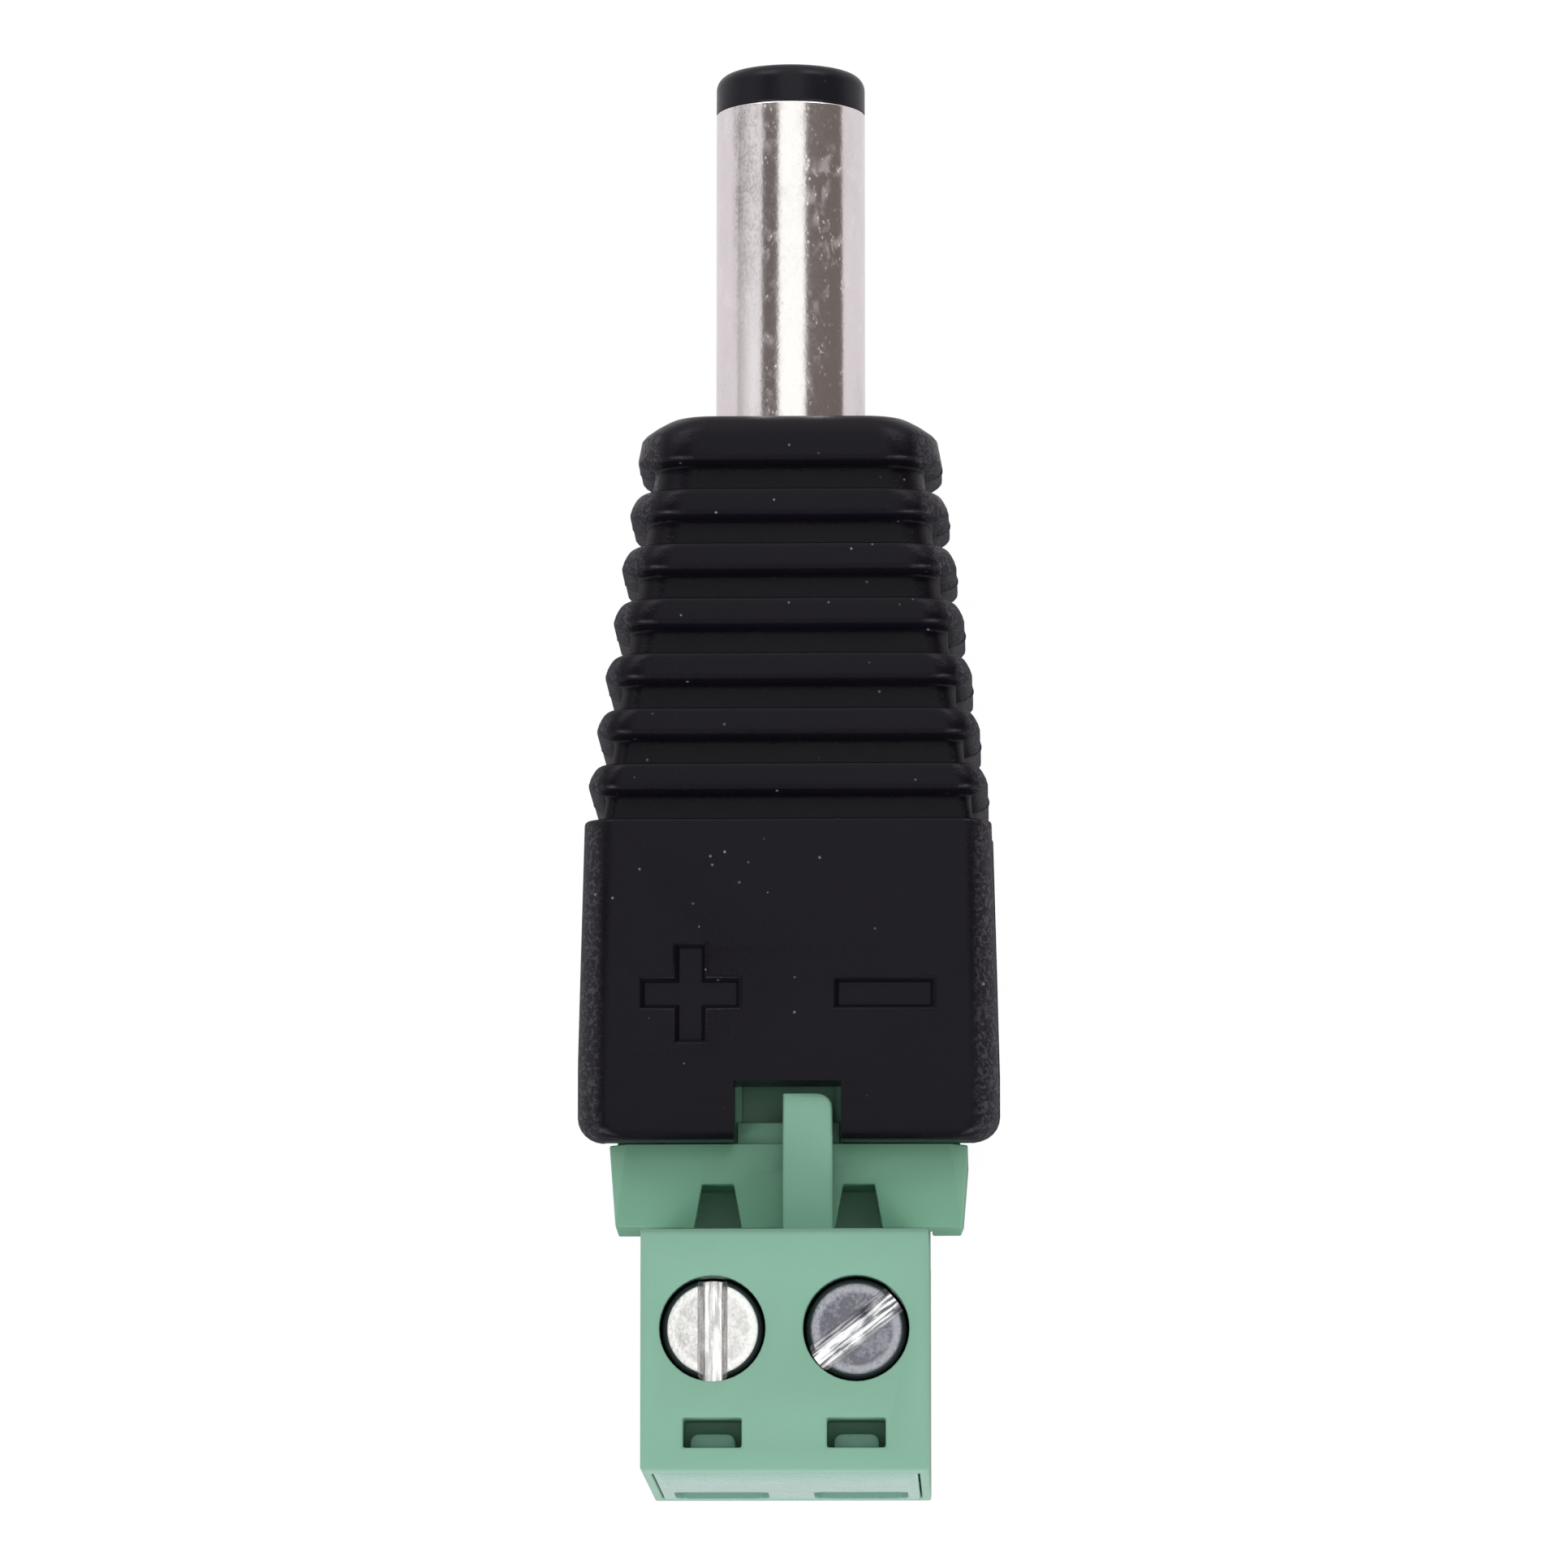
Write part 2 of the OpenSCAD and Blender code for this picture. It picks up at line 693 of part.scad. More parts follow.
// Grooves along the top of the tongue's root, in line with the coding slots
module keyways() {
    depth = 1.2;
    outer = coding_inner + coding_w + coding_splay;
    inner = coding_inner - coding_splay;
    extrude_y(shoulder_y, header_mouth_y + coding_length)
        for (s = [-1, 1])
            translate([s * (outer + inner) / 2, tongue_h / 2 - depth / 2 + past / 2])
                square([outer - inner, depth + past], center = true);
}

// The block's side profile, with a small bevel on its upper front edge
module terminal_block() {
    bevel = 0.2;
    extrude_x(terminal_w)
        polygon([[entry_y, terminal_foot], [entry_y, screw_face], [shoulder_y - bevel, screw_face],
                 [shoulder_y, screw_face - bevel], [shoulder_y, terminal_foot]]);
}

// Everything that one pole takes out of the block, centred on x: the screw's well and
// collar bore, the cage's chamber, room for the bar and leaves, the pin's way in and
// the window over the cover's hook
module clamp_cutouts(x) {
    leaf_space = 2 * (leaf_x + leaf_t + plug_gap);
    pin_way = pin_side + 2 * bite_gap;
    translate([x, screw_y, 0]) {
        translate([0, 0, head_seat])
            cylinder(d = well_d, h = head_h + head_recess + past);
        translate([0, 0, chamber_top - past])
            cylinder(d = shank_d + 4 * shank_gap, h = head_seat - chamber_top + 2 * past);
    }
    block([x - chamber_w / 2, cover_y - past, chamber_low],
          [x + chamber_w / 2, chamber_front_y, chamber_top]);
    block([x - bar_w / 2 - plug_gap, chamber_front_y - past, bar_low - shank_gap],
          [x + bar_w / 2 + plug_gap, bar_end_y + 2 * plug_gap, bar_top + plug_gap]);
    block([x - leaf_space / 2, chamber_front_y - past, -leaf_drop - 1.5 * plug_gap],
          [x + leaf_space / 2, leaf_end_y + 2 * plug_gap, bar_top + plug_gap]);
    extrude_y(leaf_end_y - past, tongue_y + past)
        translate([x, 0])
            square(pin_way, center = true);
    block([x - window_w / 2, cover_y, cover_top - past],
          [x + window_w / 2, window_end_y, screw_face + past]);
}

// The shallow recess in the wire-entry face that holds the cover
module cover_recess() {
    extrude_y(entry_y - past, cover_y)
        translate([0, (cover_low + cover_top) / 2])
            rounded_rect(terminal_w - 2 * side_rim, cover_top - cover_low, cover_corner_r);
}

// The arm springs from the shoulder, bows over the flange and ends in the notch.
// Its left side lies arm_left beyond the middle, and its root is a little thinner.
arm_low = flange_h / 2 + shank_gap;
arm_left = 0.17;
arm_x = arm_w / 2 - arm_left;
arm_reach = 1.7;
arm_thinning = 0.1;

module latch_arm() {
    length = mouth_y + arm_reach - shoulder_y;
    steps = 12;
    inner = [for (i = [0 : steps]) let (t = i / steps)
        [shoulder_y + t * length, arm_low + arm_thinning * (1 - t) + arm_bow * sin(180 * t)]];
    outer = [for (i = [steps : -1 : 0]) let (t = i / steps)
        [shoulder_y + t * length, arm_low + arm_t + arm_bow * sin(180 * t)]];
    extrude_x(arm_w, arm_x)
        polygon(concat([[shoulder_y - past, arm_low + arm_thinning]], inner, outer,
                       [[shoulder_y - past, arm_low + arm_t]]));
}

// Plate with two funnels that reach in to the cages, and two snap hooks
module terminal_cover() color([0.5, 0.7, 0.6]) {
    gap = 0.06;
    funnel_wall = 0.2;
    entry_corner_r = 0.5;
    difference() {
        union() {
            extrude_y(entry_y, cover_y)
                translate([0, (cover_low + cover_top) / 2])
                    rounded_rect(terminal_w - 2 * (side_rim + gap), cover_top - cover_low - 2 * gap,
                                 cover_corner_r - gap);
            for (x = [positive_x, negative_x]) {
                block([x - chamber_w / 2 + gap, cover_y, chamber_low + gap],
                      [x + chamber_w / 2 - gap, funnel_y, entry_z + entry_h / 2 + funnel_wall]);
                snap_hook(x);
            }
        }
        for (x = [positive_x, negative_x])
            extrude_y(entry_y - past, funnel_y + past)
                translate([x, entry_z])
                    rounded_rect(entry_w, entry_h, entry_corner_r);
    }
}

// A hook rises from the plate into its window and stops below the screw face
module snap_hook(x) {
    r = 0.3;
    root = 0.4;
    height = 0.55;
    y1 = cover_y + hook_length;
    translate([x, 0, cover_top - root])
        linear_extrude(height = root + height)
            polygon(concat([[hook_w / 2, cover_y]],
                           arc_points(hook_w / 2 - r, y1 - r, r, 0, 90, 4),
                           arc_points(-hook_w / 2 + r, y1 - r, r, 90, 180, 4),
                           [[-hook_w / 2, cover_y]]));
}

// ---- Clamps ----

// The leaves stand this far beside a pole's middle, end short of the tongue's mouth
// and reach this far below the pin's middle
leaf_x = pin_side / 2 + 0.08;
leaf_end_y = tongue_y - 1;
leaf_drop = 0.85;
bar_end_y = shoulder_y + 0.3;
bridge_length = 2;

// A bar under the screw, and two leaves that take the header pin between them
module contact_spring(x) color([0.8, 0.7, 0.45]) {
    leaf_start_y = cage_front_y + cage_gap;
    for (left = [x - leaf_x - leaf_t, x + leaf_x])
        block([left, leaf_start_y, -leaf_drop], [left + leaf_t, leaf_end_y, bar_top]);
    block([x - leaf_x - leaf_t, leaf_start_y, bar_low],
          [x + leaf_x + leaf_t, shoulder_y + bridge_length, bar_top]);
    block([x - bar_w / 2, funnel_y + plug_gap, bar_low], [x + bar_w / 2, bar_end_y, bar_top]);
}

// A square tube round the contact bar, threaded at the top, with a ribbed clamping bar
module clamp_cage(x) color([0.78, 0.74, 0.6]) {
    low = open_bar_top - cage_bar;
    high = cage_window_top + cage_top;
    groove = 0.25;
    translate([x, screw_y, 0])
        difference() {
            block([-cage_w / 2, -cage_length / 2, low], [cage_w / 2, cage_length / 2, high]);
            block([-cage_window_w / 2, -cage_length, open_bar_top],
                  [cage_window_w / 2, cage_length, cage_window_top]);
            translate([0, 0, open_bar_top])
                cylinder(d = shank_d + 2 * shank_gap, h = high - open_bar_top + past);
            for (k = [-1 : 1])
                translate([0, k * cage_length / 4, open_bar_top])
                    rotate([45, 0, 0])
                        cube([cage_window_w, groove, groove], center = true);
        }
}

// Cheese-head screw with a rounded rim and a straight slot
module clamp_screw(x, slot_angle) color([0.75, 0.75, 0.76]) {
    rim_r = 0.3;
    tip = 0.25;
    translate([x, screw_y, 0])
        difference() {
            rotate_extrude()
                polygon(concat(
                    [[0, shank_end], [shank_d / 2 - tip, shank_end], [shank_d / 2, shank_end + tip],
                     [shank_d / 2, head_seat + fixed_gap], [head_d / 2, head_seat + fixed_gap]],
                    arc_points(head_d / 2 - rim_r, head_top - rim_r, rim_r, 0, 90),
                    [[0, head_top]]));
            translate([0, 0, head_top])
                rotate([0, 0, slot_angle])
                    cube([2 * head_d, slot_w, 2 * slot_depth], center = true);
        }
}

outer_housing();
barrel_sleeve();
tip_insulator();
centre_contact();
sleeve_tag();
rear_insulator();
header_housing();
header_pin(positive_x);  // positive_header_pin
header_pin(negative_x);  // negative_header_pin
lead_conductor(positive_lead_route);  // positive_lead_conductor
lead_conductor(negative_lead_route);  // negative_lead_conductor
lead_insulation(positive_lead_route, [0.75, 0.12, 0.1]);  // positive_lead_insulation
lead_insulation(negative_lead_route, [0.1, 0.1, 0.1]);  // negative_lead_insulation
terminal_housing();
terminal_cover();
contact_spring(positive_x);  // positive_contact_spring
contact_spring(negative_x);  // negative_contact_spring
clamp_cage(positive_x);  // positive_clamp_cage
clamp_cage(negative_x);  // negative_clamp_cage
clamp_screw(positive_x, positive_slot_angle);  // positive_clamp_screw
clamp_screw(negative_x, negative_slot_angle);  // negative_clamp_screw
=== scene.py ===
"""Looks of a DC barrel plug with a pluggable two-way screw terminal.

Every length in the classes below is in millimetres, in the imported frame: the
origin is on the barrel's axis at the housing's shoulder, +Y runs to the
barrel's tip and +Z points out of the face that carries the clamp screws.
"""

import logging
import math
from dataclasses import dataclass, replace
from enum import Enum
from typing import Any, Callable, Iterable, Optional, Sequence, Union

import bmesh
import bpy
from mathutils import Matrix, Vector


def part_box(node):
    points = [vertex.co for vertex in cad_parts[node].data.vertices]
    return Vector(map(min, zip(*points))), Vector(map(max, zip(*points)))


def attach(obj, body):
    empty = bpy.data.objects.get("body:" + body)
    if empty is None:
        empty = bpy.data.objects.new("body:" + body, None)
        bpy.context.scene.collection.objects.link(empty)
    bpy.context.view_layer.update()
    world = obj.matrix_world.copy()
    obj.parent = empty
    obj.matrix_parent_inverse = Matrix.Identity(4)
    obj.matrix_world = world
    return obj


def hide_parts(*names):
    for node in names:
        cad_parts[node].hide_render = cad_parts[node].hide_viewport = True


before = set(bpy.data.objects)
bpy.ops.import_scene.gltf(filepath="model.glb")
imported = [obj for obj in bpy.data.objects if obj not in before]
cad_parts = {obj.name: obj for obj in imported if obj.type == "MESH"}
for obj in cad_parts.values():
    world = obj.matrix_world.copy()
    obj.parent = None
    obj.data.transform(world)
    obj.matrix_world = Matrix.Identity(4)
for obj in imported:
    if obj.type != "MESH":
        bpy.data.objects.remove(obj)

MM = 0.001
FULL_TURN = 2 * math.pi
SCREW_PITCH = 5.08
SCREW_Y = -34.21
SCREW_FACE = 11.1
HEAD_TOP = 10.65
SLOT_DEPTH = 0.9
SHARP_TURN = 35.0
WHITE = (1.0, 1.0, 1.0)
WARM = (1.0, 0.84, 0.77)
COOL = (1.0, 0.985, 1.0)
BRIGHT = (1.0, 1.03, 1.0)
log = logging.getLogger("plug")

Colour = tuple[float, float, float]
Point = tuple[float, float, float]
Span = tuple[float, float]
Work = bmesh.types.BMesh
Look = bpy.types.Material
Piece = bpy.types.Object


def paint(red: int, green: int, blue: int) -> Colour:
    """Turns a display colour into the linear colour that a shader takes.

    Args:
        red: Red, 0 to 255.
        green: Green, 0 to 255.
        blue: Blue, 0 to 255.

    Returns:
        The linear colour.
    """
    def channel(value: int) -> float:
        """One linear channel."""
        share = value / 255
        return share / 12.92 if share <= 0.04045 else ((share + 0.055) / 1.055) ** 2.4

    return channel(red), channel(green), channel(blue)


class Pole(Enum):
    """The two poles of the terminal, each with its side of the middle."""

    POSITIVE = -1
    NEGATIVE = 1

    @property
    def prefix(self) -> str:
        """The first word of this pole's node and body names."""
        return self.name.lower()


# ---- Shader maths ----


class Signal:
    """A shader socket that takes part in Python arithmetic."""

    def __init__(self, graph: "Graph", socket: bpy.types.NodeSocket) -> None:
        """Keeps the socket with the graph that it belongs to."""
        self.graph = graph
        self.socket = socket

    def _math(self, operation: str, first: Any, second: Any = 0.0) -> "Signal":
        """Adds one Math node.

        Args:
            operation: The node's operation.
            first: Its first value or signal.
            second: Its second value or signal.

        Returns:
            The node's result.
        """
        return self.graph.node("Math", {"operation": operation}, {0: first, 1: second})[0]

    def __add__(self, other: Any) -> "Signal":
        """self + other."""
        return self._math("ADD", self, other)

    def __sub__(self, other: Any) -> "Signal":
        """self - other."""
        return self._math("SUBTRACT", self, other)

    def __rsub__(self, other: Any) -> "Signal":
        """other - self."""
        return self._math("SUBTRACT", other, self)

    def __mul__(self, other: Any) -> "Signal":
        """self * other."""
        return self._math("MULTIPLY", self, other)

    def __truediv__(self, other: Any) -> "Signal":
        """self / other."""
        return self._math("DIVIDE", self, other)

    __radd__ = __add__
    __rmul__ = __mul__

    def largest(self, other: Any) -> "Signal":
        """The larger of self and other."""
        return self._math("MAXIMUM", self, other)

    def angle_from(self, other: "Signal") -> "Signal":
        """The angle of the point (other, self), in radians."""
        return self._math("ARCTAN2", self, other)

    def rise(self, low: float, high: float) -> "Signal":
        """A smooth step.

        Args:
            low: The value at which it leaves 0.
            high: The value at which it reaches 1.

        Returns:
            The step.
        """
        settings = {"interpolation_type": "SMOOTHSTEP", "clamp": True}
        values = {"Value": self, "From Min": low, "From Max": high}
        return self.graph.node("MapRange", settings, values)["Result"]


class Result:
    """The outputs of one node, by name or number."""

    def __init__(self, graph: "Graph", node: bpy.types.Node) -> None:
        """Keeps the node with its graph."""
        self.graph = graph
        self.node = node

    def __getitem__(self, key: Union[str, int]) -> Signal:
        """One output as a signal."""
        return Signal(self.graph, self.node.outputs[key])


class Graph:
    """A node tree that is filled through one method."""

    def __init__(self, tree: bpy.types.NodeTree) -> None:
        """Takes an empty tree over."""
        self.tree = tree
        tree.nodes.clear()

    def node(self, kind: str, settings: Optional[dict] = None, inputs: Optional[dict] = None) -> Result:
        """Adds a node.

        Args:
            kind: The node's type, without the "ShaderNode" that each one starts with.
            settings: Its settings, set first; "stops" fills a colour ramp.
            inputs: A value or a signal for each socket that isn't left alone.

        Returns:
            The node's outputs.
        """
        node = self.tree.nodes.new("ShaderNode" + kind)
        for key, value in (settings or {}).items():
            if key == "stops":
                self._set_stops(node.color_ramp, value)
            else:
                setattr(node, key, value)
        for key, value in (inputs or {}).items():
            socket = node.inputs[key]
            if isinstance(value, Signal):
                self.tree.links.new(value.socket, socket)
            elif isinstance(value, tuple) and len(socket.default_value) == 4:
                socket.default_value = (*value, 1.0)
            else:
                socket.default_value = value
        return Result(self, node)

    @staticmethod
    def _set_stops(ramp: bpy.types.ColorRamp, stops: Sequence[tuple[float, Colour]]) -> None:
        """Fills a ramp.

        Args:
            ramp: The ramp, with its first two stops.
            stops: All its stops, each a place and a colour.
        """
        while len(ramp.elements) < len(stops):
            ramp.elements.new(0.5)
        for element, (place, colour) in zip(ramp.elements, stops):
            element.position = place
            element.color = (*colour, 1.0)

    def place(self) -> Signal:
        """Object coordinates, in metres."""
        return self.node("TexCoord")["Object"]

    def parts(self, vector: Signal) -> tuple[Signal, Signal, Signal]:
        """The x, y and z of a vector."""
        split = self.node("SeparateXYZ", None, {0: vector})
        return split[0], split[1], split[2]

    def stretch(self, vector: Signal, scale: Point) -> Signal:
        """A vector multiplied by a scale for each axis."""
        return self.node("VectorMath", {"operation": "MULTIPLY"}, {0: vector, 1: scale})[0]

    def noise(self, vector: Signal, grain: float, detail: float = 2.0, contrast: float = 1.0,
              kink: float = 0.0) -> Signal:
        """Noise about the middle of its range.

        Args:
            vector: Where it is read.
            grain: The size of its features, in millimetres.
            detail: How many finer layers it has.
            contrast: How far it is spread about 0.5.
            kink: How far its features are bent.

        Returns:
            The noise, mostly 0 to 1.
        """
        values = {"Vector": vector, "Scale": 1 / (grain * MM), "Detail": detail, "Distortion": kink}
        plain = self.node("TexNoise", None, values)["Fac"]
        return plain if contrast == 1.0 else (plain - 0.5) * contrast + 0.5

    def cells(self, vector: Signal, spacing: float) -> Signal:
        """Distance to the nearest of many scattered points, in shares of their spacing."""
        values = {"Vector": vector, "Scale": 1 / (spacing * MM)}
        return self.node("TexVoronoi", {"feature": "F1"}, values)["Distance"]

    def from_axis(self, place: Signal, centre: Point) -> Signal:
        """Distance from an upright axis.

        Args:
            place: Object coordinates, in metres.
            centre: A point on the axis, in millimetres.

        Returns:
            The distance, in millimetres.
        """
        middle = tuple(c * MM for c in centre)
        apart = self.node("VectorMath", {"operation": "SUBTRACT"}, {0: place, 1: middle})[0]
        flat = self.stretch(apart, (1.0, 1.0, 0.0))
        return self.node("VectorMath", {"operation": "LENGTH"}, {0: flat})["Value"] / MM

    def mix(self, share: Any, first: Any, second: Any) -> Signal:
        """A colour between two colours."""
        settings = {"data_type": "RGBA", "clamp_factor": True}
        return self.node("Mix", settings, {0: share, 6: first, 7: second})[2]

    def bump(self, height: Signal, depth: float) -> Signal:
        """The normal under a relief of 0 to 1 that is this many millimetres high in all."""
        values = {"Strength": 1.0, "Distance": depth * MM, "Height": height}
        return self.node("Bump", None, values)["Normal"]


def material(name: str) -> tuple[Look, Graph]:
    """A new material.

    Args:
        name: Its name.

    Returns:
        The material and the graph of its nodes.
    """
    made = bpy.data.materials.new(name)
    made.use_nodes = True
    return made, Graph(made.node_tree)


def surface(graph: Graph, inputs: dict) -> None:
    """Ends a material in a Principled shader with these inputs."""
    shader = graph.node("BsdfPrincipled", None, inputs)
    graph.node("OutputMaterial", None, {"Surface": shader["BSDF"]})


# ---- Finishes ----


@dataclass(frozen=True)
class Well:
    """A round hole round a screw, with painted shade below its rim."""

    centre: Point
    radius: float
    rim: float
    edge: float = 0.05
    clean_to: float = 0.06
    dark_from: float = 0.30
    strength: float = 0.96


@dataclass(frozen=True)
class Plastic:
    """Moulded plastic: an even colour with a fine sand grain, a little dust and painted shade down screw
    wells.
    """

    name: str
    colour: Colour
    roughness: float
    grain: float = 0.12
    relief: float = 0.006
    cloud: float = 0.1
    dust: float = 0.0
    dust_colour: Colour = (0.3, 0.3, 0.31)
    specular: float = 0.4
    ior: float = 1.5
    specular_tint: Colour = (1.0, 1.0, 1.0)
    speck_spacing: float = 0.8
    lint_spacing: float = 1.9
    wells: tuple[Well, ...] = ()
    # painted shade: the colour that each well's wall is darkened to below its rim
    grime: Colour = (0.02, 0.05, 0.045)

    def height(self, graph: Graph, place: Signal, sand: Signal) -> Signal:
        """The relief of the surface, 0 to 1."""
        return sand

    def tone(self, graph: Graph, place: Signal, colour: Signal) -> Signal:
        """The colour, after what texture or painted sheen does to it."""
        return colour

    def dusting(self, graph: Graph, place: Signal) -> Signal:
        """Where dust lies.

        Args:
            graph: The material's graph.
            place: Object coordinates, in metres.

        Returns:
            Specks and bits of lint in loose patches, 0 to 1.
        """
        patch = graph.noise(place, 2.3, 2, 2.0).rise(0.32, 0.62)
        specks = 1 - graph.cells(place, self.speck_spacing).rise(0.03, 0.08)
        drawn_out = graph.stretch(place, (1.0, 0.4, 1.0))
        lint = 1 - graph.cells(drawn_out, self.lint_spacing).rise(0.008, 0.03)
        return specks.largest(lint) * patch * self.dust

    def soiled(self, graph: Graph, place: Signal, colour: Signal) -> Signal:
        """Painted shade in the wells.

        Args:
            graph: The material's graph.
            place: Object coordinates, in metres.
            colour: The unshaded colour.

        Returns:
            The colour, with painted shade below the rim of each well.
        """
        height = graph.parts(place)[2] / MM
        for well in self.wells:
            # Painted shade: darkens each well's wall below its rim, where little light gets in.
            inside = 1 - graph.from_axis(place, well.centre).rise(well.radius, well.radius + well.edge)
            deep = 1 - height.rise(well.rim - well.dark_from, well.rim - well.clean_to)
            colour = graph.mix(inside * deep * well.strength, colour, self.grime)
        return colour

    def make(self) -> Look:
        """Builds the material.

        Returns:
            The material.
        """
        made, graph = material(self.name)
        place = graph.place()
        cloud = graph.noise(place, 2.5, 4, 1.6)
        sand = graph.noise(place, self.grain, 3, 1.5)
        low = tuple(c * (1 - self.cloud) for c in self.colour)
        high = tuple(c * (1 + self.cloud) for c in self.colour)
        colour = self.tone(graph, place, graph.mix(cloud * 0.6 + sand * 0.4, low, high))
        roughness = graph.noise(place, 0.5, 3, 0.5) * 0.3 + (self.roughness - 0.15)
        if self.dust > 0:
            mask = self.dusting(graph, place)
            colour = graph.mix(mask, colour, self.dust_colour)
            roughness = roughness + mask * 0.3
        # Painted shade down the screw wells.
        colour = self.soiled(graph, place, colour)
        surface(graph, {"Base Color": colour, "Roughness": roughness, "IOR": self.ior,
                        "Specular IOR Level": self.specular, "Specular Tint": self.specular_tint,
                        "Normal": graph.bump(self.height(graph, place, sand), self.relief)})
        return made


@dataclass(frozen=True)
class SparkPlastic(Plastic):
    """Spark-eroded plastic: coarse worm-like grain along the sides, with painted sheen on it, and fine
    grain on the front.
    """

    half_width: float = 7.6
    taper: float = 2.2
    band: float = 1.0
    body_top: float = -15.2
    worm: float = 0.17
    share: float = 0.16
    # painted sheen: the paler colour of the side worms, standing in for the light that the grain catches
    pale: Colour = (0.050, 0.048, 0.056)

    def beside(self, graph: Graph, place: Signal) -> Signal:
        """How near a place is to the moulding's left or right side.

        Args:
            graph: The material's graph.
            place: Object coordinates, in metres.

        Returns:
            0 away from the sides, 1 near them.
        """
        x, y, _ = graph.parts(place)
        narrower = (y / MM).rise(self.body_top, 0.0) * self.taper
        inset = (x / MM).largest(x / -MM) + narrower - self.half_width
        return inset.rise(-self.band, -self.band * 0.55)

    def worms(self, graph: Graph, place: Signal) -> Signal:
        """The worm-like pattern of the coarse grain."""
        return graph.noise(place, self.worm, 2, 2.4, 0.8)

    def height(self, graph: Graph, place: Signal, sand: Signal) -> Signal:
        """The coarse grain where the sides turn, and a share of both grains elsewhere."""
        return sand * self.share + self.worms(graph, place) * (self.beside(graph, place) * 0.8 + 0.1)

    def tone(self, graph: Graph, place: Signal, colour: Signal) -> Signal:
        """Painted sheen: paler worms along the sides, in place of the light that the coarse grain
        catches.
        """
        sheen_crests = self.worms(graph, place).rise(0.45, 0.8)
        return graph.mix(self.beside(graph, place) * (sheen_crests * 0.75 + 0.25), colour, self.pale)


@dataclass(frozen=True)
class PlatedMetal:
    """Plated metal: soft haze, clusters of small stains, and faint draw lines."""

    name: str
    colour: Colour
    haze_colour: Colour
    roughness: float
    haze: float = 0.5
    stains: float = 0.5
    pits: float = 0.004
    draw_lines: Point = (1.0, 1.0, 1.0)
    tarnish: Colour = (0.30, 0.28, 0.265)
    dull_strip: tuple[Span, Span] = ((0.9, 1.3), (1.95, 2.2))
    dull_along: Span = (1.0, 9.0)

    def hazed(self, graph: Graph, drawn: Signal) -> Signal:
        """Soft haze in patches, with finer flecks in it."""
        patches = graph.noise(drawn, 1.5, 4, 2.0, 0.4)
        fleck = graph.noise(drawn, 0.14, 4, 2.0)
        return (patches * 0.6 + fleck * 0.4).rise(0.4, 0.9) * self.haze

    def stained(self, graph: Graph, drawn: Signal) -> Signal:
        """Stains.

        Args:
            graph: The material's graph.
            drawn: Object coordinates, stretched along the draw lines.

        Returns:
            Smoky stains and specks that cluster where the plating is worn, over a fine speckle.
        """
        worn = graph.noise(drawn, 1.2, 3, 2.4).rise(0.35, 0.75)
        smoke = graph.noise(drawn, 0.42, 5, 2.6, 0.4).rise(0.42, 0.95)
        specks = 1 - graph.cells(drawn, 0.17).rise(0.10, 0.34)
        specks = specks * graph.noise(drawn, 0.3, 3, 2.6).rise(0.45, 0.7)
        fine = graph.noise(drawn, 0.07, 3, 1.6)
        return ((smoke * 0.45 + specks * 0.75) * worn + specks * 0.22 + fine * 0.07) * self.stains

    def dulled(self, graph: Graph, place: Signal, drawn: Signal) -> Signal:
        """A darker mottled strip.

        Args:
            graph: The material's graph.
            place: Object coordinates, in metres.
            drawn: The same, stretched along the draw lines.

        Returns:
            A mottled strip along the left of the barrel, stronger towards its tip.
        """
        x, y, _ = graph.parts(place)
        near, far = self.dull_strip
        left = (x / -MM).rise(*near) * (1 - (x / -MM).rise(*far)) * (y / MM).rise(*self.dull_along)
        mottle = graph.noise(drawn, 0.09, 4, 1.8) * 0.6 + graph.noise(drawn, 0.6, 3, 2.0) * 0.4
        return left * (mottle.rise(0.3, 0.75) * 0.7 + 0.2) * self.stains

    def make(self) -> Look:
        """Builds the material.

        Returns:
            The material.
        """
        made, graph = material(self.name)
        place = graph.place()
        drawn = graph.stretch(place, self.draw_lines)
        haze, stain = self.hazed(graph, drawn), self.stained(graph, drawn)
        grit = graph.noise(place, 0.09, 3, 1.6)
        colour = graph.mix(haze + stain * 0.5, self.colour, self.haze_colour)
        # Darkens the metal in mottles along a strip on the barrel's left, where the left reflection band
        # falls, more towards the tip.
        colour = graph.mix(self.dulled(graph, place, drawn) * 0.7, colour, self.tarnish)
        roughness = haze * 0.10 + stain * 0.10 + grit * 0.05 + self.roughness
        relief = graph.noise(drawn, 0.22, 3) * 0.7 + grit * 0.3 + stain * 0.5
        surface(graph, {"Base Color": colour, "Metallic": 1 - stain * 0.55, "Roughness": roughness,
                        "Normal": graph.bump(relief, self.pits)})
        return made


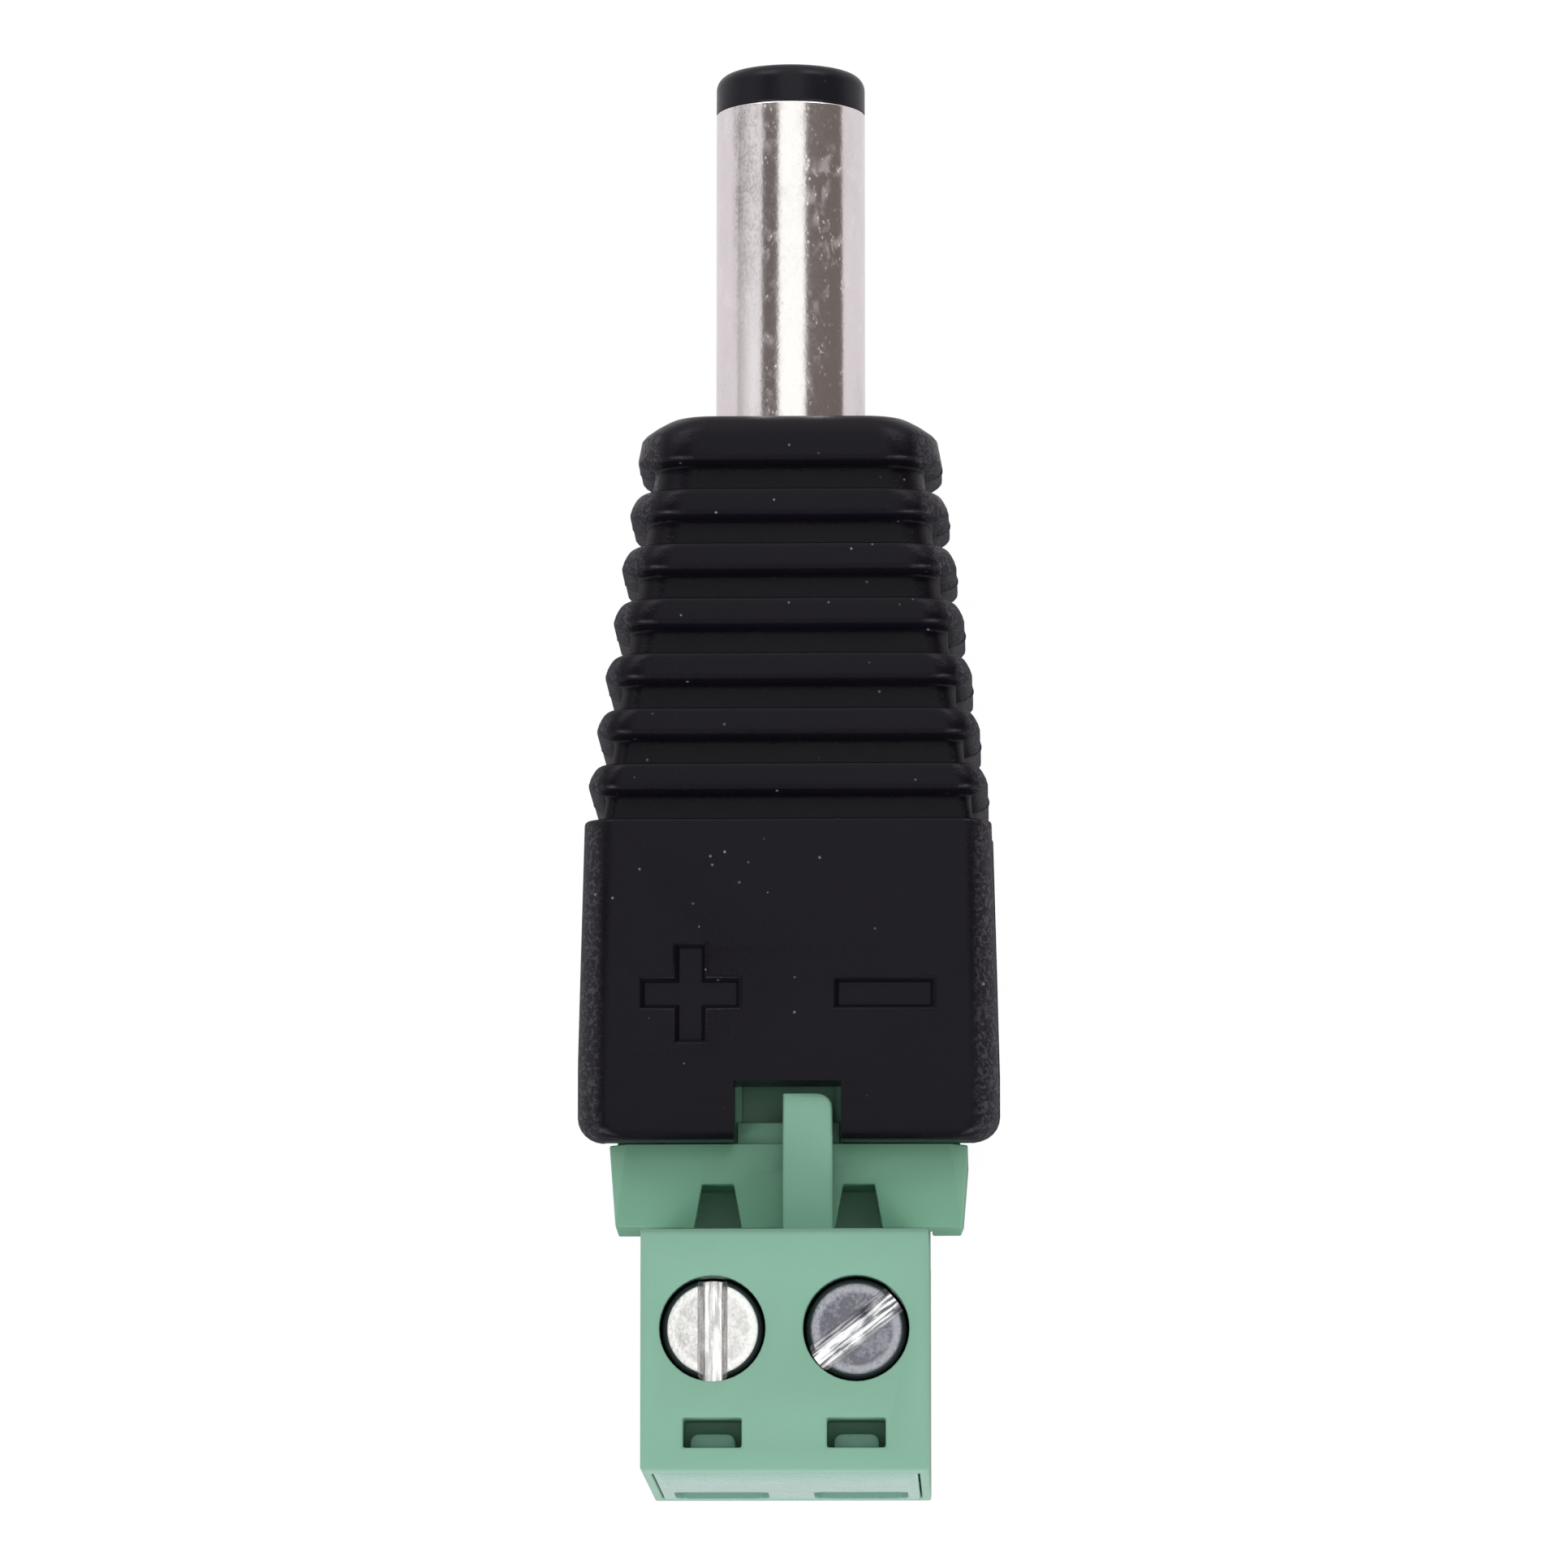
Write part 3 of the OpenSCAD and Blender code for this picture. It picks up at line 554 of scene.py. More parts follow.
@dataclass(frozen=True)
class ScrewZinc:
    """A zinc-plated cast screw: a grainy face, a paler rim band, a burnished slot and painted shade on
    the head's edge.
    """

    name: str
    colour: Colour
    dark: Colour
    rim_band: Colour
    slot_colour: Colour
    centre: Point
    slot_angle: float
    flat_r: float = 1.58
    rim_inner: Span = (1.22, 1.40)
    rim_outer: Span = (1.50, 1.60)
    relief: float = 0.014
    # painted shade on the head's edge, where it faces the well wall
    grime: Colour = (0.03, 0.045, 0.045)

    def make(self) -> Look:
        """Builds the material.

        Returns:
            The material.
        """
        made, graph = material(self.name)
        place = graph.place()
        radius = graph.from_axis(place, self.centre)
        height = graph.parts(place)[2] / MM
        grain = graph.noise(place, 0.13, 4, 2.4)
        blotch = graph.noise(place, 0.55, 4, 2.4, 0.6)
        scuff = (blotch * 0.55 + grain * 0.45).rise(0.3, 0.8)
        face = graph.mix(scuff, self.dark, self.colour)
        band = radius.rise(*self.rim_inner) * (1 - radius.rise(*self.rim_outer)) * (0.5 + grain * 0.5)
        face = graph.mix(band, face, self.rim_band)
        turn = {"rotation_type": "Z_AXIS", "invert": True}
        middle = tuple(c * MM for c in self.centre)
        values = {"Vector": place, "Center": middle, "Angle": math.radians(self.slot_angle)}
        along = graph.node("VectorRotate", turn, values)["Vector"]
        streaks = graph.noise(graph.stretch(along, (0.07, 1.0, 0.3)), 0.10, 4, 2.6)
        smears = graph.noise(graph.stretch(along, (0.35, 1.0, 0.5)), 0.3, 4, 2.6, 0.6)
        cut = 1 - height.rise(HEAD_TOP - 0.10, HEAD_TOP - 0.03)
        wiped = graph.mix((streaks * 0.6 + smears * 0.4).rise(0.25, 0.7), self.dark, self.slot_colour)
        colour = graph.mix(cut, face, wiped)
        slot_floor = HEAD_TOP - SLOT_DEPTH
        # Painted shade: the head's rounded edge and the top of its side are darkened and made less
        # metallic, for the shade in the gap to the well wall.
        edge_shade = radius.rise(self.flat_r, self.flat_r + 0.04)
        edge_shade = edge_shade * height.rise(slot_floor + 0.12, slot_floor + 0.3)
        colour = graph.mix(edge_shade, colour, self.grime)
        below = 1 - height.rise(slot_floor - 0.2, slot_floor - 0.1)
        colour = graph.mix(below, colour, self.colour)
        roughness = scuff * 0.12 + 0.30 - cut * streaks * 0.16
        relief = grain * 0.6 * (1 - cut) + streaks * cut * 0.5 + blotch * 0.4
        surface(graph, {"Base Color": colour, "Metallic": 1 - edge_shade, "Roughness": roughness,
                        "Normal": graph.bump(relief, self.relief)})
        return made


def screw_centre(pole: Pole) -> Point:
    """A point on the axis of one pole's screw."""
    return pole.value * SCREW_PITCH / 2, SCREW_Y, 0.0


def screw_zinc(pole: Pole, slot_angle: float) -> ScrewZinc:
    """The finish of one pole's screw: one head is bright and the other is dull grey.

    Args:
        pole: The pole.
        slot_angle: How far its slot is turned from +X, in degrees.

    Returns:
        The finish.
    """
    if pole is Pole.POSITIVE:
        return ScrewZinc("screw_zinc_bright", (0.84, 0.82, 0.82), (0.58, 0.565, 0.565),
                         (0.92, 0.91, 0.90), (0.97, 0.96, 0.96), screw_centre(pole), slot_angle)
    return ScrewZinc("screw_zinc_grey", (0.28, 0.28, 0.315), (0.145, 0.14, 0.17), (0.42, 0.42, 0.47),
                     (0.92, 0.91, 0.93), screw_centre(pole), slot_angle)


# The housing's sides carry painted sheen along their coarse grain.
HOUSING_BLACK = SparkPlastic("housing_black", (0.0036, 0.0030, 0.0052), 0.32, 0.15, 0.034, 0.25, 0.8,
                             specular=0.62, ior=1.2, specular_tint=(0.95, 0.9, 1.0))
TIP_BLACK = Plastic("tip_black", (0.0078, 0.0074, 0.0108), 0.32, 0.3, 0.006, 0.1, 0.25, specular=0.8,
                    ior=1.2, specular_tint=(0.9, 0.93, 1.0))
# The terminal's screw wells get painted shade below their rims.
TERMINAL_GREEN = Plastic("terminal_green", paint(127, 172, 150), 0.45, 0.16, 0.002, 0.04,
                         wells=tuple(Well(screw_centre(p), 1.98, SCREW_FACE) for p in Pole))
# Painted light: a brighter copy of the terminal green for the latch arm, which is moulded with the
# block, to offset the shade that the block casts on it.
LATCH_GREEN_PAINTED_LIGHT = Plastic("latch_green", paint(138, 187, 163), 0.42, 0.16, 0.002, 0.04)
HEADER_GREEN = Plastic("header_green", paint(120, 171, 144), 0.42, 0.16, 0.002, 0.04)
COVER_GREEN = Plastic("cover_green", paint(120, 166, 150), 0.26, 0.3, 0.0004, 0.04)
RED_INSULATION = Plastic("red_insulation", (0.36, 0.02, 0.015), 0.4, 0.4, 0.004)
BLACK_INSULATION = Plastic("black_insulation", (0.012, 0.012, 0.012), 0.4, 0.4, 0.004)
BARREL_NICKEL = PlatedMetal("barrel_nickel", (0.79, 0.745, 0.745), (0.70, 0.67, 0.67), 0.11, 0.6, 1.0,
                            0.004, (1.0, 0.6, 1.0))
CONTACT_BRASS = PlatedMetal("contact_brass", (0.66, 0.55, 0.33), (0.6, 0.5, 0.34), 0.22)
TINNED_METAL = PlatedMetal("tinned_metal", (0.72, 0.71, 0.68), (0.6, 0.6, 0.58), 0.25)
COPPER_WIRE = PlatedMetal("copper_wire", (0.72, 0.42, 0.3), (0.6, 0.38, 0.28), 0.25)
CAGE_NICKEL = PlatedMetal("cage_nickel", (0.70, 0.67, 0.60), (0.6, 0.58, 0.54), 0.24)


# ---- Mesh work ----


def stand(name: str, data: Any) -> Piece:
    """Puts a mesh, a lamp or a camera in the scene as an object."""
    made = bpy.data.objects.new(name, data)
    bpy.context.scene.collection.objects.link(made)
    return made


def as_object(work: Work, name: str) -> Piece:
    """Turns a shape into an object in the scene.

    Args:
        work: The shape; it is freed.
        name: The object's name.

    Returns:
        The object.
    """
    mesh = bpy.data.meshes.new(name)
    work.to_mesh(mesh)
    work.free()
    return stand(name, mesh)


def finish_mesh(work: Work, name: str, look: Look, crease: float = SHARP_TURN) -> Piece:
    """Turns a closed shape in millimetres into an object in metres.

    Args:
        work: The shape; it is freed.
        name: The object's name.
        look: Its material.
        crease: Edges that turn by more degrees than this stay sharp.

    Returns:
        The object, at the origin.
    """
    bmesh.ops.scale(work, vec=(MM, MM, MM), verts=work.verts)
    limit = math.radians(crease)
    for face in work.faces:
        face.smooth = True
    for edge in work.edges:
        edge.smooth = len(edge.link_faces) == 2 and edge.calc_face_angle(0.0) < limit
    piece = as_object(work, name)
    piece.data.materials.append(look)
    return piece


def outward(work: Work) -> Work:
    """Merges doubles and turns every face of a closed shape outwards."""
    bmesh.ops.remove_doubles(work, verts=work.verts, dist=1e-4)
    bmesh.ops.recalc_face_normals(work, faces=work.faces)
    return work


@dataclass(frozen=True)
class Section:
    """A rounded rectangle square to Y, in millimetres."""

    y: float
    half_w: float
    half_d: float
    radius: float

    def fit(self, point: Vector, old: "Section") -> Vector:
        """Moves a point of another section's outline to its place on this one.

        Args:
            point: The point.
            old: The section whose outline it is on.

        Returns:
            The new point.
        """
        side, front = math.copysign(1, point.x), math.copysign(1, point.z)
        across = (point.x - side * (old.half_w - old.radius)) / old.radius
        along = (point.z - front * (old.half_d - old.radius)) / old.radius
        return Vector((side * (self.half_w - self.radius) + across * self.radius, self.y,
                       front * (self.half_d - self.radius) + along * self.radius))


def loft(sections: Sequence[Section], corner_steps: int) -> Work:
    """A closed shape through rounded rectangles, capped at both ends.

    Args:
        sections: The outlines, from one end to the other.
        corner_steps: Facets round each corner.

    Returns:
        The shape.
    """
    work = bmesh.new()
    first = sections[0]
    bmesh.ops.create_grid(work, x_segments=1, y_segments=1, size=1.0)
    bmesh.ops.rotate(work, verts=work.verts, matrix=Matrix.Rotation(math.pi / 2, 3, "X"))
    bmesh.ops.scale(work, verts=work.verts, vec=(first.half_w, 1.0, first.half_d))
    bmesh.ops.bevel(work, geom=work.verts[:], offset=first.radius, offset_type="OFFSET",
                    affect="VERTICES", segments=corner_steps, profile=0.5, material=-1)
    for vert in work.verts:
        vert.co.y = first.y
    ring = work.edges[:]
    for old, new in zip(sections, sections[1:]):
        grown = bmesh.ops.extrude_edge_only(work, edges=ring)["geom"]
        ring = [g for g in grown if isinstance(g, bmesh.types.BMEdge)]
        for vert in (g for g in grown if isinstance(g, bmesh.types.BMVert)):
            vert.co = new.fit(vert.co, old)
    bmesh.ops.contextual_create(work, geom=ring)
    return outward(work)


def turned(profile: Sequence[Span], axis: str, steps: int, centre: Point = (0.0, 0.0, 0.0)) -> Work:
    """A closed round shape, spun from a closed profile.

    Args:
        profile: Its corners as (radius, height along the axis).
        axis: "Y" or "Z".
        steps: Facets round the axis.
        centre: A point on the axis.

    Returns:
        The shape.
    """
    work = bmesh.new()
    lift = Vector((0, 1, 0)) if axis == "Y" else Vector((0, 0, 1))
    base = Vector(centre)
    verts = [work.verts.new(base + Vector((radius, 0, 0)) + height * lift) for radius, height in profile]
    edges = [work.edges.new(pair) for pair in zip(verts, verts[1:])]
    if profile[0][0] > 0 or profile[-1][0] > 0:
        edges.append(work.edges.new((verts[-1], verts[0])))
    bmesh.ops.spin(work, geom=verts + edges, cent=base, axis=lift, angle=FULL_TURN, steps=steps,
                   use_merge=True, use_duplicate=False)
    return outward(work)


def arc(centre: Span, radius: float, start: float, end: float, steps: int) -> list[Span]:
    """Points along an arc.

    Args:
        centre: Its centre.
        radius: Its radius.
        start: Its first angle, in degrees.
        end: Its last angle, in degrees.
        steps: Its number of chords.

    Returns:
        The points.
    """
    angles = [math.radians(start + (end - start) * i / steps) for i in range(steps + 1)]
    return [(centre[0] + radius * math.cos(a), centre[1] + radius * math.sin(a)) for a in angles]


def quarter(radius: float, angles: Iterable[float]) -> list[Span]:
    """Steps along a quarter round, from 90 degrees at its end to 0 on its flat.

    Args:
        radius: Its radius.
        angles: The angles, in degrees.

    Returns:
        For each angle, how far it is from the end and how far it is drawn in.
    """
    turns = [math.radians(a) for a in angles]
    return [(radius - radius * math.sin(a), radius - radius * math.cos(a)) for a in turns]


def block(low: Point, high: Point, flare: float = 0.0) -> Work:
    """A block between two corners, to cut with.

    Args:
        low: Its lowest corner.
        high: Its highest corner.
        flare: How far its top stands out beyond its foot all round.

    Returns:
        The block.
    """
    work = bmesh.new()
    bmesh.ops.create_cube(work, size=1.0)
    size = Vector(high) - Vector(low)
    bmesh.ops.scale(work, verts=work.verts, vec=size)
    bmesh.ops.translate(work, verts=work.verts, vec=(Vector(high) + Vector(low)) / 2)
    if flare > 0:
        middle = (Vector(high) + Vector(low)) / 2
        top = [v for v in work.verts if v.co.z > middle.z]
        wide = Vector(((size.x + 2 * flare) / size.x, (size.y + 2 * flare) / size.y, 1))
        bmesh.ops.scale(work, verts=top, vec=wide, space=Matrix.Translation(-middle))
    return work


def rod(radius: float, start: float, end: float) -> Work:
    """A round cutter along Y, from start to end."""
    return turned([(0.0, start), (radius, start), (radius, end), (0.0, end)], "Y", 64)


def carve(work: Work, cutters: Iterable[Work]) -> Work:
    """Takes cutters out of a shape.

    Args:
        work: The shape; it is freed.
        cutters: The shapes to take out; they are freed.

    Returns:
        What is left.
    """
    stock = as_object(work, "stock")
    tools = [as_object(cutter, "tool") for cutter in cutters]
    for tool in tools:
        cut = stock.modifiers.new("cut", "BOOLEAN")
        cut.operation, cut.solver, cut.object = "DIFFERENCE", "EXACT", tool
    left = bmesh.new()
    mesh = bpy.data.meshes.new_from_object(stock.evaluated_get(bpy.context.evaluated_depsgraph_get()))
    left.from_mesh(mesh)
    for made in [stock, *tools]:
        old = made.data
        bpy.data.objects.remove(made)
        bpy.data.meshes.remove(old)
    bpy.data.meshes.remove(mesh)
    bmesh.ops.remove_doubles(left, verts=left.verts, dist=1e-4)
    return left


def soften(work: Work, width: float,
           chosen: Callable[[bmesh.types.BMEdge], bool] = lambda edge: True) -> Work:
    """Rounds the sharp edges of a shape.

    Args:
        work: The shape.
        width: The rounding, in millimetres.
        chosen: Whether a sharp edge is rounded.

    Returns:
        The same shape.
    """
    limit = math.radians(SHARP_TURN)
    edges = [e for e in work.edges
             if len(e.link_faces) == 2 and e.calc_face_angle(0.0) > limit and chosen(e)]
    bmesh.ops.bevel(work, geom=edges, offset=width, offset_type="OFFSET", affect="EDGES",
                    segments=2, profile=0.5, material=-1, clamp_overlap=False)
    return work


def join_flats(work: Work) -> None:
    """Makes each flat face that is split into parts one face again."""
    bmesh.ops.dissolve_limit(work, angle_limit=math.radians(0.5), use_dissolve_boundaries=False,
                             verts=work.verts, edges=work.edges)


def cad_copy(node: str) -> Work:
    """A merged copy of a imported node's mesh.

    Args:
        node: The node.

    Returns:
        The copy, in millimetres.
    """
    work = bmesh.new()
    work.from_mesh(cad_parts[node].data)
    bmesh.ops.scale(work, vec=(1 / MM, 1 / MM, 1 / MM), verts=work.verts)
    bmesh.ops.remove_doubles(work, verts=work.verts, dist=1e-3)
    join_flats(work)
    return work


def millimetres(node: str) -> tuple[Vector, Vector]:
    """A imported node's lowest and highest corners, in millimetres."""
    low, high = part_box(node)
    return low / MM, high / MM


def fit_in(work: Work, name: str, look: Look, body: str, node: str,
           crease: float = SHARP_TURN) -> None:
    """Finishes a piece and seats it in the frame.

    Args:
        work: Its shape; it is freed.
        name: Its name.
        look: Its material.
        body: The body that it moves with.
        node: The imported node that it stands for.
        crease: Edges that turn by more degrees than this stay sharp.
    """
    piece = finish_mesh(work, name, look, crease)
    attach(piece, body)
    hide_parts(node)
    log.info("%s: %d faces, on %s", piece.name, len(piece.data.polygons), body)


# ---- Housing ----


@dataclass
class Housing:
    """The black moulding: seven grip ribs, a plain body, two polarity marks and a latch notch."""

    ribs: int = 7
    first_rib: float = 1.92
    rib: float = 1.10
    groove: float = 0.96
    groove_depth: float = 0.72
    nose_half: Span = (5.35, 4.05)
    nose_step: float = 0.16
    nose_corner: float = 2.4
    body_corner: float = 1.15
    least_corner: float = 0.4
    edge_r: float = 0.42
    crown: tuple[Point, ...] = ((0.0, 2.1, 1.05), (0.07, 1.02, 0.6), (0.16, 0.86, 0.35),
                                (0.36, 0.52, 0.14), (0.62, 0.16, 0.03), (0.8, 0.03, 0.0))
    corner_steps: int = 10
    mouth_r: float = 0.9
    mouth_front_r: float = 0.3
    mouth_straight: float = 2.0
    rim_r: float = 0.14
    wall_run: float = 0.02
    floor_run: float = 0.10
    floor_round: Span = (0.06, 0.08)
    flat_falls: Span = (0.28, 0.45)
    widest: float = 0.66
    lobe_top: float = 0.28
    lobe_low: float = 0.24
    mark_centre: float = 3.5
    mark_from_mouth: float = 5.3
    mark_length: float = 3.4
    mark_stroke: float = 0.9
    mark_draw: float = 0.05
    mark_depth: float = 0.24
    mark_flare: float = 0.18
    mark_edge: float = 0.09
    notch_half: float = 1.93
    notch_depth: float = 2.13
    flash: float = 0.035
    mismatch: float = 0.02
    draft: float = 0.22
    draft_y: float = 4.8
    draft_share: float = 0.45
    slant: float = 1.2
    slant_from: float = 2.9
    pocket_step: Span = (0.3, 0.6)
    slack: float = 0.02
    cavity_half: Span = (4.39, 3.2)
    cavity_top: float = -8.2
    bore: Point = (2.97, -9.0, 0.5)
    collar_seat: Point = (3.42, -8.3, -7.18)
    above: float = 0.5
    crease: float = 32.0

    def __post_init__(self) -> None:
        """Reads the housing's and the header's boxes and works out the nose and the body."""
        self.low, self.high = millimetres("outer_housing")
        self.header_low, self.header_high = millimetres("header_housing")
        self.nose_length = self.first_rib + self.ribs * self.groove + (self.ribs - 1) * self.rib
        self.body_half = (self.high.x - self.flash - self.mismatch, self.high.z)

    def section(self, y: float, side: float = 0.0, front: float = 0.0) -> Section:
        """The nose's outline at a station.

        Args:
            y: The station.
            side: How far it is drawn in at the sides.
            front: How far it is drawn in at the front and back.

        Returns:
            The outline.
        """
        share = min(1.0, -y / self.nose_length)
        foot = self.body_half[0] - self.nose_step, self.body_half[1]
        half = [a + (b - a) * share for a, b in zip(self.nose_half, foot)]
        corner = self.nose_corner + (self.body_corner - self.nose_corner) * share
        radius = max(self.least_corner, corner - (side + front) / 2)
        return Section(y, half[0] - side, half[1] - front, radius)

    def lobe(self, y: float, top: float, low: float) -> float:
        """The rounding of a rib's side ends.

        Args:
            y: The station.
            top: The rib's top edge.
            low: The rib's low edge.

        Returns:
            How far the sides are drawn in there.
        """
        widest = low + (1 - self.widest) * self.rib
        if y > widest:
            return self.lobe_top * ((y - widest) / (top - widest)) ** 2
        return self.lobe_low * ((widest - y) / (widest - low)) ** 2

    def rib_sections(self, index: int) -> list[Section]:
        """One rib and the groove below it.

        Args:
            index: The rib's number, 0 at the barrel.

        Returns:
            The outlines, from the top down.
        """
        floor, side_round, front_round = self.groove_depth, *self.floor_round
        if index == 0:
            top, low = 0.0, -self.first_rib
            sections = [self.section(-fall, side, front) for fall, side, front in self.crown]
        else:
            top = -(self.first_rib + self.groove + (index - 1) * (self.rib + self.groove))
            low = top - self.rib
            sections = [self.section(top + self.wall_run, floor, floor)]
            falls = quarter(self.rim_r, (90, 60, 30, 0)) + [(fall, 0.0) for fall in self.flat_falls]
            sections += [self.section(top - fall, inset + self.lobe(top - fall, top, low), inset)
                         for fall, inset in falls]
        sections += [self.section(low + rise, inset + self.lobe(low + rise, low + self.rib, low), inset)
                     for rise, inset in quarter(self.edge_r, (0, 18, 36, 54, 72, 90))]
        return sections + [self.section(low - self.wall_run, floor - side_round, floor - front_round),
                           self.section(low - self.floor_run, floor, floor)]

    def body_sections(self) -> list[Section]:
        """The plain body.

        Returns:
            Its outlines, from the last groove to the mouth.
        """
        half_w, half_d = self.body_half
        top, mouth, corner = -self.nose_length, self.low.y, self.body_corner
        sections = [self.section(top + self.floor_run / 2, self.groove_depth, self.groove_depth)]
        sections += [Section(top - fall, half_w - self.draft - inset, half_d - inset, corner)
                     for fall, inset in quarter(self.rim_r, (90, 60, 30, 0))]
        sections += [Section(top - self.draft_y, half_w - self.draft * self.draft_share, half_d, corner),
                     Section(mouth + self.mouth_r + self.mouth_straight, half_w, half_d, corner)]
        sections += [Section(mouth + rise, half_w - inset,
                             half_d - self.mouth_front_r * (inset / self.mouth_r) ** 2, corner)
                     for rise, inset in quarter(self.mouth_r, range(0, 91, 15))]
        return sections

    def slant_mouth(self, work: Work) -> None:
        """Draws the rim of the mouth back towards the rear.

        Args:
            work: The moulding.
        """
        reach = self.slant_from + self.body_half[1]
        for vert in work.verts:
            if vert.co.y < self.low.y + self.mouth_r + 0.01 and vert.co.z < self.slant_from:
                vert.co.y += self.slant * (self.slant_from - vert.co.z) / reach

    def mould_lines(self, work: Work) -> None:
        """Raises a thin flash along both sides and shifts the rear half a little.

        Args:
            work: The moulding.
        """
        for level in (self.flash, 0.0, -self.flash):
            geometry = work.verts[:] + work.edges[:] + work.faces[:]
            bmesh.ops.bisect_plane(work, geom=geometry, dist=1e-5, plane_co=(0, 0, level),
                                   plane_no=(0, 0, 1))
        for vert in work.verts:
            if abs(vert.co.z) < self.flash / 2 and abs(vert.co.x) > 2:
                vert.co.x += math.copysign(self.flash, vert.co.x)
            if vert.co.z < self.flash / 2:
                vert.co.x += self.mismatch

    def cutters(self) -> list[Work]:
        """What is cut out of the moulding.

        Returns:
            The marks, the notch, the header's pocket, the cavity, the bore and the collar's seat.
        """
        face = self.body_half[1]
        mouth, outside = self.low.y, self.low.y - 1
        floor, above = face - self.mark_depth, face + self.above
        flare = self.mark_flare * (above - floor) / self.mark_depth
        y = mouth + self.mark_from_mouth
        long, short = self.mark_length / 2 - self.mark_draw, self.mark_stroke / 2 - self.mark_draw
        marks = [(-self.mark_centre, long, short), (-self.mark_centre, short, long),
                 (self.mark_centre, long, short)]
        cut = [block((x - w, y - h, floor), (x + w, y + h, above), flare) for x, w, h in marks]
        cut.append(block((-self.notch_half, outside, 0),
                         (self.notch_half, mouth + self.notch_depth, above)))
        side, front = (step - self.slack for step in self.pocket_step)
        low, high = self.header_low, self.header_high
        cut.append(block((low.x + side, outside, low.z + front),
                         (high.x - side, high.y + self.slack, high.z - front)))
        half_w, half_d = self.cavity_half
        cut.append(block((-half_w, high.y - 1, -half_d), (half_w, self.cavity_top, half_d)))
        return [*cut, rod(*self.bore), rod(*self.collar_seat)]

    def on_mark_rim(self, edge: bmesh.types.BMEdge) -> bool:
        """Whether an edge is on the front rim of a polarity mark.

        Args:
            edge: The edge.

        Returns:
            True where both its ends are near a mark and on the front face.
        """
        reach = self.mark_length / 2 + self.above
        y = self.low.y + self.mark_from_mouth
        return all(abs(v.co.z - self.body_half[1]) < 0.01 and abs(v.co.y - y) < reach
                   and abs(abs(v.co.x) - self.mark_centre) < reach for v in edge.verts)

    def build(self, look: Look) -> None:
        """Builds the moulding and seats it.

        Args:
            look: Its material.
        """
        sections = [s for i in range(self.ribs) for s in self.rib_sections(i)] + self.body_sections()
        work = loft(sections, self.corner_steps)
        self.slant_mouth(work)
        self.mould_lines(work)
        work = carve(outward(work), self.cutters())
        soften(work, self.mark_edge, self.on_mark_rim)
        fit_in(work, "housing_shell", look, "connector", "outer_housing", self.crease)


# ---- Barrel ----


@dataclass
class Barrel:
    """The plated sleeve and the black bush whose ring shows at its tip."""

    radius: float = 2.75
    wall: float = 0.4
    sleeve_end: float = 11.9
    length: float = 13.35
    root_r: float = 2.95
    collar_r: float = 3.4
    collar_y: float = -7.2
    rear: float = -8.2
    ring_edge: float = 0.55
    lip_r: float = 1.3
    contact_r: float = 1.47
    bush_rear: float = -8.6
    lip_y: float = 12.75
    gap: float = 0.02
    sleeve_edge: float = 0.09
    collar_edge: float = 0.1
    fillet: float = 0.06
    foot_r: float = 0.05
    socket_edge: float = 0.15
    facets: int = 128

    def sleeve(self) -> Work:
        """The sleeve.

        Returns:
            A thin tube with a softened end, a wider root and a collar.
        """
        inner, edge, cut = self.radius - self.wall, self.sleeve_edge, self.collar_edge
        rim = arc((self.radius - edge, self.sleeve_end - edge), edge, 0, 90, 4)
        return turned([(inner, self.rear), (self.collar_r - cut, self.rear),
                       (self.collar_r, self.rear + cut), (self.collar_r, self.collar_y),
                       (self.root_r, self.collar_y),
                       (self.root_r, -self.fillet - self.gap), (self.radius + self.fillet, -self.gap),
                       (self.radius, 2 * self.gap), *rim, (inner, self.sleeve_end)], "Y", self.facets)

    def bush(self) -> Work:
        """The bush.

        Returns:
            A liner for the sleeve, which ends in a rounded ring round the socket.
        """
        liner = self.radius - self.wall - self.gap
        edge, foot_r, lip = self.ring_edge, self.foot_r, self.socket_edge
        ring = arc((self.radius - edge, self.length - edge), edge, 0, 90, 10)
        foot = arc((self.radius - foot_r, self.sleeve_end + foot_r), foot_r, -90, 0, 3)
        mouth = arc((self.lip_r + lip, self.length - lip), lip, 90, 180, 4)
        clear = self.sleeve_end + 0.001
        return turned([(self.contact_r, self.bush_rear), (liner, self.bush_rear), (liner, clear),
                       *foot, *ring, *mouth, (self.lip_r, self.lip_y), (self.contact_r, self.lip_y)],
                      "Y", self.facets)

    def build(self, metal: Look, black: Look) -> None:
        """Builds both pieces and seats them.

        Args:
            metal: The sleeve's material.
            black: The bush's material.
        """
        fit_in(self.sleeve(), "sleeve", metal, "connector", "barrel_sleeve")
        fit_in(self.bush(), "tip_bush", black, "connector", "tip_insulator")


# ---- Header ----


@dataclass
class Header:
    """The pin header: its flange shows between the housing and the terminal."""

    edge: float = 0.06
    least_edge: float = 0.1

    def build(self, look: Look) -> None:
        """Softens the edges of the header's body and seats it.

        Args:
            look: Its material.
        """
        work = cad_copy("header_housing")
        bmesh.ops.remove_doubles(work, verts=work.verts, dist=self.least_edge)
        bmesh.ops.recalc_face_normals(work, faces=work.faces)
        soften(work, self.edge)
        fit_in(work, "header_body", look, "connector", "header_housing")


# ---- Terminal ----


